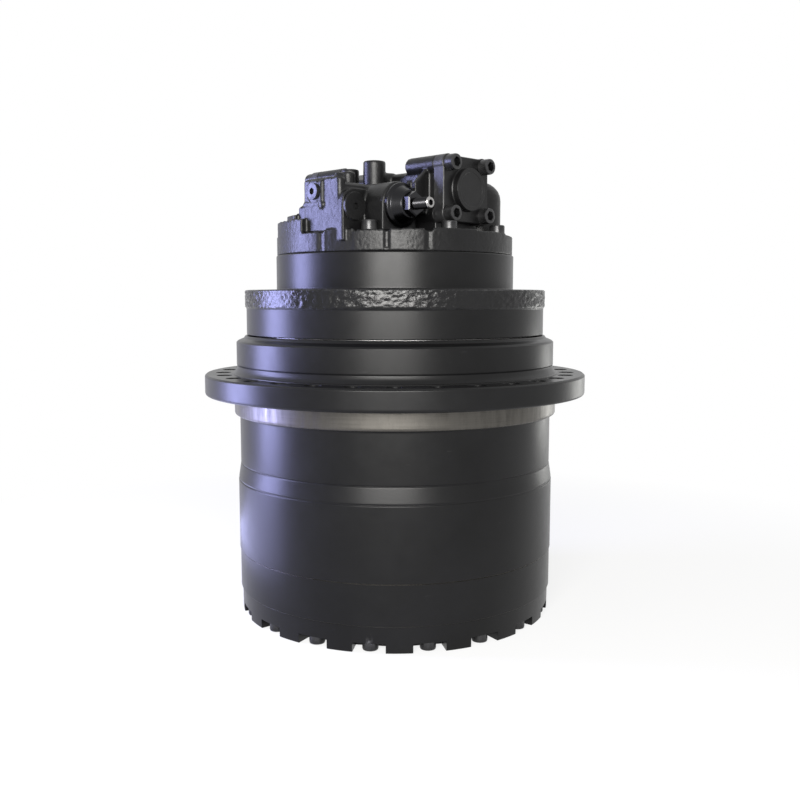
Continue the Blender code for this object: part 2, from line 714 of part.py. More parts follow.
def make_cover_plugs():
    for name, place_of_plug in zip(PLUG_NAMES, plug_places()):
        shell = Shell()
        profile = [(PLUG_RADIUS, COVER_FACE_RISE), (PLUG_RADIUS, COVER_FACE_RISE + PLUG_LENGTH - GAP)]
        phase = math.atan2(place_of_plug[1], place_of_plug[0])
        turned_bar(shell, profile, BOLT_SIDES, phase, place_of_plug)
        shell.object(name, screw_steel())


def make_ring_gear():
    """Inner-toothed barrel that reaches into the drum, with its own bolting flange."""
    shell = Shell()
    bottom = COVER_TOP + GAP
    teeth = inner_tooth_spaces(RING_TEETH)
    teeth_low = shell.loop(at_height(teeth, bottom))
    teeth_high = shell.loop(at_height(teeth, RING_BARREL_TOP))
    shell.wall(teeth_low, teeth_high)
    rim = [(RING_FLANGE_RADIUS, bottom), (RING_FLANGE_RADIUS, RING_FLANGE_TOP)]
    rim_low, rim_high = shell.turn(rim, ROUND)
    step, barrel_high = shell.turn(
        [(RING_BARREL_RADIUS, RING_FLANGE_TOP), (RING_BARREL_RADIUS, RING_BARREL_TOP)], INNER
    )
    shell.cap(rim_low, teeth_low)
    shell.cap(rim_high, step)
    shell.cap(barrel_high, teeth_high)
    shell.object("ring_gear", gear_steel())


def make_drum():
    """Rotating hub casting with the sprocket flange, its machined pilot band and the seal collar."""
    shell = Shell()
    bottom = RING_FLANGE_TOP + GAP
    collar_edge = COLLAR_RADIUS + COVE_RADIUS
    skirt, under_flange = shell.turn(
        [
            (DRUM_SKIRT_RADIUS, bottom),
            (DRUM_SKIRT_RADIUS, DRUM_SKIRT_TOP),
            (DRUM_WAIST_RADIUS, DRUM_TAPER_TOP),
            (DRUM_WAIST_RADIUS, PILOT_BOTTOM),
            (PILOT_RADIUS, PILOT_BOTTOM),
            (PILOT_RADIUS, FLANGE_BOTTOM),
        ],
        ROUND,
    )
    edge_low, edge_high = shell.turn(
        [
            (FLANGE_RADIUS - 2 * FLANGE_EDGE, FLANGE_BOTTOM),
            (FLANGE_RADIUS, FLANGE_BOTTOM + 2 * FLANGE_EDGE),
            (FLANGE_RADIUS, FLANGE_TOP - FLANGE_EDGE),
            (FLANGE_RADIUS - FLANGE_EDGE, FLANGE_TOP),
        ],
        ROUND,
    )
    collar, collar_end = shell.turn(
        [
            (collar_edge, FLANGE_TOP),
            (COLLAR_RADIUS + COVE_RADIUS / 4, FLANGE_TOP + COVE_HEIGHT / 2),
            (COLLAR_RADIUS, COLLAR_BOTTOM),
            (COLLAR_RADIUS, COLLAR_TOP),
            (COLLAR_RADIUS - COLLAR_TAPER, DRUM_TOP),
        ],
        ROUND,
    )
    mouth, bore = shell.turn(
        [
            (DRUM_MOUTH_RADIUS, DRUM_TOP),
            (DRUM_MOUTH_RADIUS, DRUM_MOUTH_BOTTOM),
            (SEAL_POCKET_RADIUS, DRUM_MOUTH_BOTTOM),
            (SEAL_POCKET_RADIUS, SEAL_FLOOR_DRUM),
            (BEARING_OUTER_RADIUS, SEAL_FLOOR_DRUM),
            (BEARING_OUTER_RADIUS, UPPER_BEARING_BOTTOM - GAP),
            (BEARING_OUTER_RADIUS - BEARING_SHOULDER, UPPER_BEARING_BOTTOM - GAP),
            (BEARING_OUTER_RADIUS - BEARING_SHOULDER, LOWER_BEARING_TOP + GAP),
            (BEARING_OUTER_RADIUS, LOWER_BEARING_TOP + GAP),
            (BEARING_OUTER_RADIUS, DRUM_BORE_STEP),
            (DRUM_BORE_RADIUS, DRUM_BORE_STEP),
            (DRUM_BORE_RADIUS, bottom),
        ],
        INNER,
    )
    sprocket_holes = [
        shell.through_hole(SPROCKET_HOLE_RADIUS, FLANGE_BOTTOM, FLANGE_TOP, place)
        for place in screw_places(SPROCKET_HOLE_COUNT, SPROCKET_HOLE_CIRCLE, SPROCKET_HOLE_START)
    ]
    shell.cap(edge_low, under_flange, *(low for low, high in sprocket_holes))
    shell.cap(edge_high, collar, *(high for low, high in sprocket_holes))
    shell.cap(collar_end, mouth)
    shell.cap(skirt, bore)
    shell.object("drum", casing_paint())


# Planetary stages


def make_planets(prefix, teeth, places, centres, bottom, height, pin_radius, parent=None):
    """Planet gears turning on their pins, each meshed with the ring gear at rest."""
    bore = (pin_radius + PIN_PLAY / 2) / math.cos(math.pi / SMALL)
    for number, angle in enumerate(places, start=1):
        shell = Shell()
        outline = outer_teeth(teeth, planet_phase(angle, teeth))
        low = shell.loop(at_height(outline, bottom))
        high = shell.loop(at_height(outline, bottom + height))
        shell.wall(low, high)
        hole_low, hole_high = shell.turn([(bore, bottom), (bore, bottom + height)], SMALL)
        shell.cap(low, hole_low)
        shell.cap(high, hole_high)
        x, y = polar(centres, angle)
        shell.object(f"{prefix}_{number}", gear_steel(), parent, (x, y, 0.0))


def make_first_stage():
    """First stage: sun on the input shaft, three planets and a carrier that drives the second sun."""
    shaft_bore = SHAFT_RADIUS + PIN_PLAY * 3
    sun = Shell()
    outline = outer_teeth(FIRST_SUN_TEETH, sun_phase(FIRST_PLACES[0], FIRST_PLANET_TEETH, FIRST_SUN_TEETH))
    low = sun.loop(at_height(outline, FIRST_GEAR_BOTTOM))
    high = sun.loop(at_height(outline, FIRST_GEAR_TOP))
    sun.wall(low, high)
    stub = [(SHAFT_RADIUS, THRUST_PLATE_TOP + GAP), (SHAFT_RADIUS, FIRST_GEAR_BOTTOM)]
    foot, foot_top = sun.turn(stub, SMALL)
    shaft_low, shaft_end = sun.turn(
        [(SHAFT_RADIUS, FIRST_GEAR_TOP), (SHAFT_RADIUS, SHAFT_JOINT_HEIGHT - GAP)], SMALL
    )
    sun.cap(foot)
    sun.cap(low, foot_top)
    sun.cap(high, shaft_low)
    sun.cap(shaft_end)
    sun.object("input_sun_shaft", gear_steel())

    make_planets(
        "first_planet", FIRST_PLANET_TEETH, FIRST_PLACES, FIRST_CENTRES,
        FIRST_GEAR_BOTTOM, FIRST_GEAR_WIDTH, FIRST_PIN_RADIUS,
    )
    carrier = Shell()
    spline = inner_tooth_spaces(FINAL_SUN_TEETH, GAP)
    turn = sun_phase(FINAL_PLACES[0], FINAL_PLANET_TEETH, FINAL_SUN_TEETH)
    spline = [tuple(Matrix.Rotation(turn, 3, "Z") @ Vector(point)) for point in spline]
    reach = FIRST_CENTRES + FIRST_PIN_RADIUS + FIRST_CARRIER_RIM
    waist = FIRST_CENTRES * FIRST_CARRIER_WAIST
    rim = []
    for angle in FIRST_PLACES:
        rim.append((*polar(waist, angle - FIRST_CARRIER_ARM_ROOT), 0.0))
        rim += [(*polar(reach, angle + offset), 0.0) for offset in FIRST_CARRIER_ARM]
        rim.append((*polar(waist, angle + FIRST_CARRIER_ARM_ROOT), 0.0))
    rim_low = carrier.loop(at_height(rim, FIRST_CARRIER_BOTTOM))
    rim_high = carrier.loop(at_height(rim, FIRST_CARRIER_TOP))
    carrier.wall(rim_low, rim_high)
    spline_low = carrier.loop(at_height(spline, FIRST_CARRIER_BOTTOM))
    spline_high = carrier.loop(at_height(spline, FIRST_CARRIER_TOP))
    carrier.wall(spline_low, spline_high)
    pin = [(FIRST_PIN_RADIUS, FIRST_CARRIER_BOTTOM), (FIRST_PIN_RADIUS, FIRST_GEAR_BOTTOM - PIN_TAIL)]
    pins = [carrier.post(pin, polar(FIRST_CENTRES, angle)) for angle in FIRST_PLACES]
    carrier.cap(rim_low, spline_low, *pins)
    carrier.cap(rim_high, spline_high)
    carrier.object("first_carrier", gear_steel())

    second_sun = Shell()
    outline = outer_teeth(FINAL_SUN_TEETH, turn)
    low = second_sun.loop(at_height(outline, FIRST_CARRIER_BOTTOM))
    high = second_sun.loop(at_height(outline, FINAL_GEAR_TOP))
    second_sun.wall(low, high)
    bore_low, bore_high = second_sun.turn(
        [(shaft_bore, FIRST_CARRIER_BOTTOM), (shaft_bore, FINAL_GEAR_TOP)], SMALL
    )
    second_sun.cap(low, bore_low)
    second_sun.cap(high, bore_high)
    second_sun.object("final_sun", gear_steel())

    plate = Shell()
    profile = [(THRUST_PLATE_RADIUS, COVER_FLOOR + GAP), (THRUST_PLATE_RADIUS, THRUST_PLATE_TOP)]
    turned_bar(plate, profile, SMALL)
    plate.object("thrust_plate", bronze())


def make_final_stage():
    """Final stage: four planets on a carrier that is held to the spindle's end."""
    make_planets(
        "final_planet", FINAL_PLANET_TEETH, FINAL_PLACES, FINAL_CENTRES,
        FINAL_GEAR_BOTTOM, FINAL_GEAR_WIDTH, FINAL_PIN_RADIUS,
    )
    shell = Shell()
    rim_low, rim_high = shell.turn(
        [(FINAL_CARRIER_RADIUS, FINAL_CARRIER_BOTTOM), (FINAL_CARRIER_RADIUS, FINAL_CARRIER_TOP)], MEDIUM
    )
    bore_low, bore_high = shell.turn(
        [(INPUT_BORE_RADIUS, FINAL_CARRIER_BOTTOM), (INPUT_BORE_RADIUS, FINAL_CARRIER_TOP)], MEDIUM
    )
    pin = [(FINAL_PIN_RADIUS, FINAL_CARRIER_BOTTOM), (FINAL_PIN_RADIUS, FINAL_GEAR_BOTTOM - STAGE_GAP / 2)]
    tail = [
        (FINAL_PIN_TAIL_RADIUS, FINAL_CARRIER_TOP),
        (FINAL_PIN_TAIL_RADIUS, SPINDLE_BOTTOM + FINAL_PIN_ROOTING - GAP),
    ]
    below = [shell.post(pin, polar(FINAL_CENTRES, angle)) for angle in FINAL_PLACES]
    above = [shell.post(tail, polar(FINAL_CENTRES, angle)) for angle in FINAL_PLACES]
    shell.cap(rim_low, bore_low, *below)
    shell.cap(rim_high, bore_high, *above)
    shell.object("final_carrier", gear_steel())


# Main bearings and face seal


def make_main_bearing(name, bottom, wide_end_down):
    """Taper roller bearing: an outer race, and an inner race that carries its row of rollers."""
    low, high = (0, 1) if wide_end_down else (1, 0)
    top = bottom + BEARING_HEIGHT
    inner = [JOURNAL_RADIUS + INNER_RACE_WALL[low], JOURNAL_RADIUS + INNER_RACE_WALL[high]]
    outer = [BEARING_OUTER_RADIUS - OUTER_RACE_WALL[low], BEARING_OUTER_RADIUS - OUTER_RACE_WALL[high]]
    shell = Shell()
    rim = BEARING_OUTER_RADIUS - GAP
    turned_ring(shell, [(outer[0], bottom), (rim, bottom), (rim, top), (outer[1], top)], INNER)
    shell.object(f"{name}_outer_race", bearing_steel())

    shell = Shell()
    bore = JOURNAL_RADIUS + GAP
    turned_ring(shell, [(bore, bottom), (inner[0], bottom), (inner[1], top), (bore, top)], INNER)
    race = shell.object(f"{name}_inner_race", bearing_steel())
    rollers = Shell()
    flat = math.cos(math.pi / INNER)
    margin = (1 - ROLLER_LENGTH / BEARING_HEIGHT) / 2
    for i in range(INNER):
        angle = 2 * math.pi * (i + 0.5) / INNER
        loops = []
        for share in (margin, 1 - margin):
            inside = (inner[0] + (inner[1] - inner[0]) * share) * flat - ROLLER_SEAT
            outside = (outer[0] + (outer[1] - outer[0]) * share) * flat - ROLLER_PLAY
            centre = polar((inside + outside) / 2, angle)
            radius = (outside - inside) / 2
            points = circle(radius, bottom + BEARING_HEIGHT * share, HOLE_SIDES, angle, centre)
            loops.append(rollers.loop(points))
        rollers.wall(loops[0], loops[1])
        rollers.cap(loops[0])
        rollers.cap(loops[1])
    boolean(race, rollers.object(f"{name}_roller_forms", bearing_steel()), "UNION")


def make_bearing_nut():
    shell = Shell()
    bottom = SPINDLE_BOTTOM + GAP
    bore = THREAD_RADIUS + GAP
    profile = [(bore, bottom), (BEARING_NUT_RADIUS, bottom), (BEARING_NUT_RADIUS, NUT_TOP), (bore, NUT_TOP)]
    turned_ring(shell, profile, INNER)
    shell.object("bearing_nut", screw_steel())


def make_face_seal():
    """Two lapped rings face to face, each pressed by a rubber ring in its pocket."""
    face_gap = GAP / 2
    ring_taper = SEAL_FACE_RADIUS - SEAL_BACK_RADIUS
    cord_inner = SEAL_FACE_RADIUS - ring_taper * CORD_SEAT + GAP
    cord_outer = SEAL_POCKET_RADIUS - GAP
    cord_middle = (cord_inner + cord_outer) / 2
    for name, way in (("drum", -1), ("spindle", 1)):
        face = SEAL_FACE_HEIGHT + way * face_gap
        back = face + way * SEAL_RING_HEIGHT
        ring = Shell()
        profile = [
            (SEAL_INNER_RADIUS, face),
            (SEAL_FACE_RADIUS, face),
            (SEAL_BACK_RADIUS, back),
            (SEAL_INNER_RADIUS, back),
        ]
        turned_ring(ring, profile, INNER)
        ring.object(f"{name}_seal_ring", bearing_steel())
        rubber = Shell()
        level = face + way * SEAL_RING_HEIGHT * CORD_SEAT
        profile = [
            (cord_inner, level), (cord_middle, level - CORD_HALF_HEIGHT),
            (cord_outer, level), (cord_middle, level + CORD_HALF_HEIGHT),
        ]
        turned_ring(rubber, profile, INNER)
        rubber.object(f"{name}_seal_rubber", seal_rubber())


# Spindle with the motor housing


def make_spindle():
    """Fixed spindle casting: bearing journal, frame flange and the housing of the travel motor."""
    shell = Shell()
    journal_end, spigot_top = shell.turn(
        [
            (THREAD_RADIUS, SPINDLE_BOTTOM),
            (THREAD_RADIUS, NUT_TOP),
            (JOURNAL_RADIUS, NUT_TOP),
            (JOURNAL_RADIUS, UPPER_BEARING_TOP + GAP),
            (JOURNAL_RADIUS + BEARING_SHOULDER, UPPER_BEARING_TOP + GAP),
            (JOURNAL_RADIUS + BEARING_SHOULDER, SEAL_ROOF_SPINDLE),
            (SEAL_POCKET_RADIUS, SEAL_ROOF_SPINDLE),
            (SEAL_POCKET_RADIUS, SPIGOT_BOTTOM),
            (SPIGOT_RADIUS, SPIGOT_BOTTOM),
            (SPIGOT_RADIUS, NECK_BOTTOM),
        ],
        INNER,
    )
    neck_low, case_top = shell.turn(
        [
            (NECK_RADIUS, NECK_BOTTOM),
            (NECK_RADIUS, FRAME_FLANGE_BOTTOM),
            (FRAME_FLANGE_RADIUS, FRAME_FLANGE_BOTTOM),
            (FRAME_FLANGE_RADIUS, FRAME_FLANGE_TOP),
        ],
        ROUND,
    )
    case_low, case_high = shell.turn(
        [(MOTOR_CASE_RADIUS, FRAME_FLANGE_TOP), (MOTOR_CASE_RADIUS, MOTOR_CASE_TOP)], ROUND
    )
    frame_floor = FRAME_FLANGE_TOP - FRAME_HOLE_DEPTH
    frame_holes = [
        shell.blind_hole(FRAME_HOLE_RADIUS, FRAME_FLANGE_TOP, frame_floor, place)
        for place in screw_places(FRAME_HOLE_COUNT, FRAME_HOLE_CIRCLE, 0.0)
    ]
    shell.cap(spigot_top, neck_low)
    shell.cap(case_top, case_low, *frame_holes)
    brake_mouth, room_floor = shell.turn(
        [
            (BRAKE_ROOM_RADIUS, MOTOR_CASE_TOP),
            (BRAKE_ROOM_RADIUS, BRAKE_ROOM_BOTTOM),
            (SWASH_ROOM_RADIUS, BRAKE_ROOM_BOTTOM),
            (SWASH_ROOM_RADIUS, SWASH_ROOM_BOTTOM),
        ],
        INNER,
    )
    shell.cap(case_high, brake_mouth)
    bearing_mouth, input_end = shell.turn(
        [
            (SHAFT_BEARING_RADIUS + GAP, SWASH_ROOM_BOTTOM),
            (SHAFT_BEARING_RADIUS + GAP, SHAFT_BEARING_BOTTOM - GAP),
            (SHAFT_SEAL_RADIUS + GAP, SHAFT_BEARING_BOTTOM - GAP),
            (SHAFT_SEAL_RADIUS + GAP, SHAFT_SEAL_BOTTOM - GAP),
            (SHAFT_RADIUS + SHAFT_WAY, SHAFT_SEAL_BOTTOM - GAP),
            (SHAFT_RADIUS + SHAFT_WAY, INPUT_BORE_TOP),
            (INPUT_BORE_RADIUS, INPUT_BORE_TOP),
            (INPUT_BORE_RADIUS, SPINDLE_BOTTOM),
        ],
        MEDIUM,
    )
    piston_floor = SWASH_ROOM_BOTTOM - SPEED_PISTON_LENGTH
    piston_hole = shell.blind_hole(
        SPEED_PISTON_RADIUS + GAP, SWASH_ROOM_BOTTOM, piston_floor, (0.0, -SPEED_PISTON_OFFSET), BOLT_SIDES
    )
    crown = PIVOT_BALL_RADIUS * PIVOT_BALL_CROWN
    span = PIVOT_BALL_RADIUS * PIVOT_BALL_SPAN
    ball = [
        (PIVOT_BALL_RADIUS * PIVOT_BALL_FOOT, SWASH_ROOM_BOTTOM),
        (PIVOT_BALL_RADIUS, PIVOT_BALL_HEIGHT - span),
        (PIVOT_BALL_RADIUS * PIVOT_BALL_SHOULDER, PIVOT_BALL_HEIGHT + span),
        (crown, PIVOT_HEIGHT - crown * math.tan(SWASH_ANGLE) - GAP),
    ]
    balls = [shell.stud(ball, (side * PIVOT_SPREAD, PIVOT_OFFSET)) for side in (-1, 1)]
    shell.cap(room_floor, bearing_mouth, piston_hole, *balls)
    rooting = []
    for angle in FINAL_PLACES:
        start, end = shell.turn(
            [
                (FINAL_PIN_TAIL_RADIUS + GAP, SPINDLE_BOTTOM),
                (FINAL_PIN_TAIL_RADIUS + GAP, SPINDLE_BOTTOM + FINAL_PIN_ROOTING),
            ],
            SMALL, math.pi / SMALL, polar(FINAL_CENTRES, angle),
        )
        shell.cap(end)
        rooting.append(start)
    shell.cap(journal_end, input_end, *rooting)
    shell.object("spindle", casing_paint())


# Travel motor


def make_shaft_parts():
    shaft = Shell()
    shaft_top = PORT_FLANGE_BOTTOM + REAR_BEARING_HEIGHT - SHAFT_END
    turned_bar(
        shaft,
        [
            (SHAFT_RADIUS, SHAFT_JOINT_HEIGHT + GAP),
            (SHAFT_RADIUS, shaft_top),
        ],
        SMALL,
    )
    shaft.object("motor_shaft", gear_steel())
    sleeve = Shell()
    low = SHAFT_JOINT_HEIGHT - COUPLING_LENGTH / 2 + RUNNING_GAP
    high = SHAFT_JOINT_HEIGHT + COUPLING_LENGTH / 2 - RUNNING_GAP
    bore = SHAFT_RADIUS + GAP
    turned_ring(sleeve, [(bore, low), (COUPLING_RADIUS, low), (COUPLING_RADIUS, high), (bore, high)], SMALL)
    sleeve.object("shaft_coupling", gear_steel())
    running_bore = (SHAFT_RADIUS + SHAFT_PLAY) / math.cos(math.pi / SMALL)
    bearing = ("shaft_bearing_front", SHAFT_BEARING_RADIUS, SHAFT_BEARING_BOTTOM, SHAFT_BEARING_TOP)
    seal = ("shaft_seal", SHAFT_SEAL_RADIUS, SHAFT_SEAL_BOTTOM, SHAFT_SEAL_TOP)
    for (name, radius, low, high), finish in ((bearing, bearing_steel()), (seal, seal_rubber())):
        ring = Shell()
        first, last = ring.turn([(radius, low), (radius, high)], MEDIUM)
        bore_low, bore_high = ring.turn([(running_bore, low), (running_bore, high)], SMALL)
        ring.cap(first, bore_low)
        ring.cap(last, bore_high)
        ring.object(name, finish)
    rear = Shell()
    low = PORT_FLANGE_BOTTOM
    high = low + REAR_BEARING_HEIGHT - GAP
    turned_ring(
        rear,
        [(running_bore, low), (REAR_BEARING_RADIUS, low), (REAR_BEARING_RADIUS, high), (running_bore, high)],
        SMALL,
    )
    rear.object("shaft_bearing_rear", bearing_steel())


def make_cylinder_block():
    """Cylinder block with nine piston bores around the shaft."""
    shell = Shell()
    low, high = shell.turn([(BLOCK_RADIUS, BLOCK_BOTTOM), (BLOCK_RADIUS, BLOCK_TOP)], MEDIUM)
    bore = SHAFT_RADIUS + GAP
    bore_low, bore_high = shell.turn([(bore, BLOCK_BOTTOM), (bore, BLOCK_TOP)], SMALL)
    barrels = [
        shell.turn(
            [(PISTON_RADIUS + GAP, BLOCK_BOTTOM), (PISTON_RADIUS + GAP, BLOCK_TOP)],
            HOLE_SIDES, math.atan2(place[1], place[0]), place,
        )
        for place in screw_places(PISTON_COUNT, PISTON_CIRCLE, 0.0)
    ]
    shell.cap(low, bore_low, *(start for start, end in barrels))
    shell.cap(high, bore_high, *(end for start, end in barrels))
    shell.object("cylinder_block", gear_steel())


def make_pistons():
    """Nine pistons with their slipper shoes on the retainer plate, all at one height."""
    shell = Shell()
    plate_top = SHOE_TOP - RETAINER_INSET
    plate_bottom = plate_top - RETAINER_THICKNESS
    rim_low, rim_high = shell.turn(
        [(RETAINER_RADIUS, plate_bottom), (RETAINER_RADIUS, plate_top)], MEDIUM
    )
    bore_low, bore_high = shell.turn(
        [(RETAINER_BORE_RADIUS, plate_bottom), (RETAINER_BORE_RADIUS, plate_top)], SMALL
    )
    shoe = [(SHOE_RADIUS, plate_bottom), (SHOE_RADIUS, SHOE_BOTTOM)]
    rod = [
        (SHOE_RADIUS * PISTON_ROD_SHARE, plate_top),
        (PISTON_RADIUS, PISTON_BOTTOM),
        (PISTON_RADIUS, PISTON_BOTTOM + PISTON_LENGTH),
    ]
    places = screw_places(PISTON_COUNT, PISTON_CIRCLE, 0.0)
    shoes = [shell.stud(shoe, place, HOLE_SIDES) for place in places]
    rods = [shell.stud(rod, place, HOLE_SIDES) for place in places]
    shell.cap(rim_low, bore_low, *shoes)
    shell.cap(rim_high, bore_high, *rods)
    shell.object("pistons_and_retainer", bronze())


def make_valve_plate():
    shell = Shell()
    top = MOTOR_CASE_TOP
    bore = SHAFT_RADIUS + SHAFT_WAY
    low, high = shell.turn([(VALVE_PLATE_RADIUS, VALVE_PLATE_BOTTOM), (VALVE_PLATE_RADIUS, top)], MEDIUM)
    bore_low, bore_high = shell.turn([(bore, VALVE_PLATE_BOTTOM), (bore, top)], SMALL)
    kidneys = []
    for side in (0.0, math.pi):
        outline = []
        for radius, sweep in (
            (PISTON_CIRCLE + KIDNEY_HALF_WIDTH, (-1, 0, 1)), (PISTON_CIRCLE - KIDNEY_HALF_WIDTH, (1, 0, -1))
        ):
            outline += [(*polar(radius, side + KIDNEY_SWEEP * step), 0.0) for step in sweep]
        start = shell.loop(at_height(outline, VALVE_PLATE_BOTTOM))
        end = shell.loop(at_height(outline, top))
        shell.wall(start, end)
        kidneys.append((start, end))
    shell.cap(low, bore_low, *(start for start, end in kidneys))
    shell.cap(high, bore_high, *(end for start, end in kidneys))
    shell.object("valve_plate", bronze())


def make_swash_plate():
    """Tilting plate on two balls; the speed piston pushes on its far side."""
    pivot = empty("swash_pivot", (0.0, PIVOT_OFFSET, PIVOT_HEIGHT))
    shell = Shell()
    centre = (0.0, -PIVOT_OFFSET)
    low, high = shell.turn([(SWASH_RADIUS, 0.0), (SWASH_RADIUS, SWASH_THICKNESS)], MEDIUM, 0.0, centre)
    bore_low, bore_high = shell.turn(
        [(SWASH_BORE_RADIUS, 0.0), (SWASH_BORE_RADIUS, SWASH_THICKNESS)], SMALL, 0.0, centre
    )
    shell.cap(low, bore_low)
    shell.cap(high, bore_high)
    shell.object("swash_plate", gear_steel(), pivot, rotation=(SWASH_ANGLE, 0.0, 0.0))
    piston = Shell()
    arm = SPEED_PISTON_OFFSET + PIVOT_OFFSET
    nose = SPEED_PISTON_RADIUS / 4
    tip = PIVOT_HEIGHT - (arm + nose) * math.tan(SWASH_ANGLE) - GAP
    turned_bar(
        piston,
        [
            (SPEED_PISTON_RADIUS, SWASH_ROOM_BOTTOM - SPEED_PISTON_LENGTH + GAP),
            (SPEED_PISTON_RADIUS, tip - SPEED_PISTON_RADIUS * SPEED_PISTON_NOSE),
            (nose, tip),
        ],
        BOLT_SIDES, -math.pi / 2, (0.0, 0.0),
    )
    piston.object("speed_piston", bearing_steel(), location=(0.0, -SPEED_PISTON_OFFSET, 0.0))


def make_brake():
    """Parking brake: steel plates in the housing, lined discs on the block, piston and disc spring."""
    level = BRAKE_ROOM_BOTTOM + GAP
    for number in range(2 * STEEL_PLATE_COUNT - 1):
        top = level + DISC_HEIGHT
        shell = Shell()
        if number % 2:
            inner, outer = BLOCK_RADIUS + GAP, DISC_OUTER_RADIUS
            name, finish = f"brake_lined_disc_{number // 2 + 1}", friction_lining()
        else:
            inner, outer = STEEL_PLATE_INNER_RADIUS, BRAKE_ROOM_RADIUS * math.cos(math.pi / INNER) - GAP
            name, finish = f"brake_steel_plate_{number // 2 + 1}", gear_steel()
        turned_ring(shell, [(inner, level), (outer, level), (outer, top), (inner, top)], MEDIUM)
        shell.object(name, finish)
        level = top + GAP
    piston = Shell()
    rim = BRAKE_ROOM_RADIUS - GAP
    lip = rim - BRAKE_PISTON_LIP
    piston_top = level + BRAKE_PISTON_HEIGHT
    turned_ring(
        piston,
        [
            (BRAKE_PISTON_BORE, level),
            (lip, level),
            (lip, level + BRAKE_PISTON_STEP),
            (rim, level + BRAKE_PISTON_STEP),
            (rim, piston_top),
            (BRAKE_PISTON_BORE, piston_top),
        ],
        INNER,
    )
    piston.object("brake_piston", bearing_steel())
    spring = Shell()
    low = piston_top + GAP
    high = MOTOR_CASE_TOP - DISC_SPRING_THICKNESS
    inner = BRAKE_PISTON_BORE + DISC_SPRING_MARGIN
    outer = rim - DISC_SPRING_MARGIN
    turned_ring(
        spring,
        [
            (outer, low), (outer, low + DISC_SPRING_THICKNESS),
            (inner, high + DISC_SPRING_THICKNESS), (inner, high),
        ],
        INNER,
    )
    spring.object("brake_disc_spring", bearing_steel())


# Hydraulic block and its valves


def along_face(place, turn):
    """Matrix that stands a piece modelled along +Z on a level axis of the block."""
    lying = Matrix.Rotation(turn, 4, "Z") @ Matrix.Rotation(math.pi / 2, 4, "Y")
    return Matrix.Translation(Vector(place)) @ lying


def level_object(shell, name, finish, parent, place_of_piece, turn):
    """Finish a shell modelled along +Z and lay it along a level axis of the block."""
    piece = shell.object(name, finish, parent)
    piece.matrix_local = along_face(place_of_piece, turn)
    return piece


def boxed(low, high):
    shell = Shell()
    corners = [(low[0], low[1]), (high[0], low[1]), (high[0], high[1]), (low[0], high[1])]
    bottom = shell.loop([(x, y, low[2]) for x, y in corners])
    top = shell.loop([(x, y, high[2]) for x, y in corners])
    shell.wall(bottom, top)
    shell.cap(bottom)
    shell.cap(top)
    return shell


def make_housing_form():
    """Spool housing: a long body with a saddle between its two heads."""
    shell = Shell()
    root = BLOCK_SEAT - BLOCK_ROOT
    high_reach = HOUSING_HALF_LENGTH - HOUSING_HEAD_LENGTH
    low_reach = high_reach - HOUSING_SLOPE_LENGTH
    stations = [
        (-HOUSING_HALF_LENGTH, HOUSING_TOP),
        (-high_reach, HOUSING_TOP),
        (-low_reach, HOUSING_SADDLE),
        (low_reach, HOUSING_SADDLE),
        (high_reach, HOUSING_TOP),
        (HOUSING_HALF_LENGTH, HOUSING_TOP),
    ]
    sections = []
    for x, top in stations:
        outline = [
            (HOUSING_HALF_WIDTH, root),
            (HOUSING_HALF_WIDTH, top - HOUSING_EDGE),
            (HOUSING_HALF_WIDTH - HOUSING_EDGE, top),
            (HOUSING_EDGE - HOUSING_HALF_WIDTH, top),
            (-HOUSING_HALF_WIDTH, top - HOUSING_EDGE),
            (-HOUSING_HALF_WIDTH, root),
        ]
        sections.append(shell.loop([(x, y, z) for y, z in outline]))
    for first, second in zip(sections, sections[1:]):
        shell.wall(first, second)
    shell.cap(sections[0])
    shell.cap(sections[-1])
    return shell


def arch_form(half_width, straight_top, round_radius, reach, foot):
    """Upright slab with rounded upper corners, lying along the block's long axis from the origin."""
    shell = Shell()
    outline = [(-half_width, foot), (half_width, foot)]
    for side in (1, -1):
        corner = half_width - round_radius
        lifts = (0, 1, 2, 3) if side > 0 else (3, 2, 1, 0)
        for lift in lifts:
            y, z = polar(round_radius, math.pi / 6 * lift)
            outline.append((side * (corner + y), straight_top + z))
    back = shell.loop([(0.0, y, z) for y, z in outline])
    front = shell.loop([(reach, y, z) for y, z in outline])
    shell.wall(back, front)
    shell.cap(back)
    shell.cap(front)
    return shell


def make_lobe_form():
    """Upright lobe at the corner of the block, with a domed top."""
    shell = Shell()
    root = BLOCK_SEAT - BLOCK_ROOT
    shoulder = PORT_FLANGE_TOP + LOBE_RISE
    crown = shoulder + LOBE_CROWN_HEIGHT
    profile = [
        (LOBE_RADIUS, root),
        (LOBE_RADIUS, shoulder),
        ((LOBE_RADIUS * 2 + LOBE_CROWN_RADIUS) / 3, shoulder + LOBE_CROWN_HEIGHT * LOBE_CROWN_SHARE),
        (LOBE_CROWN_RADIUS, crown),
    ]
    turned_bar(shell, profile, LOBE_SIDES, math.pi / LOBE_SIDES, LOBE_PLACE)
    return shell


def make_panel_form():
    """Raised part of the round flange's rim, on the left."""
    shell = Shell()
    outline = []
    for radius, steps in (
        (PORT_FLANGE_RADIUS * math.cos(math.pi / ROUND), range(PANEL_STEPS + 1)),
        (PORT_FLANGE_RADIUS - PANEL_WIDTH, range(PANEL_STEPS, -1, -1)),
    ):
        outline += [polar(radius, PANEL_START + PANEL_SWEEP * step / PANEL_STEPS) for step in steps]
    low = shell.loop([(x, y, BLOCK_SEAT - BLOCK_ROOT) for x, y in outline])
    high = shell.loop([(x, y, PORT_FLANGE_TOP + PANEL_RISE) for x, y in outline])
    shell.wall(low, high)
    shell.cap(low)
    shell.cap(high)
    return shell


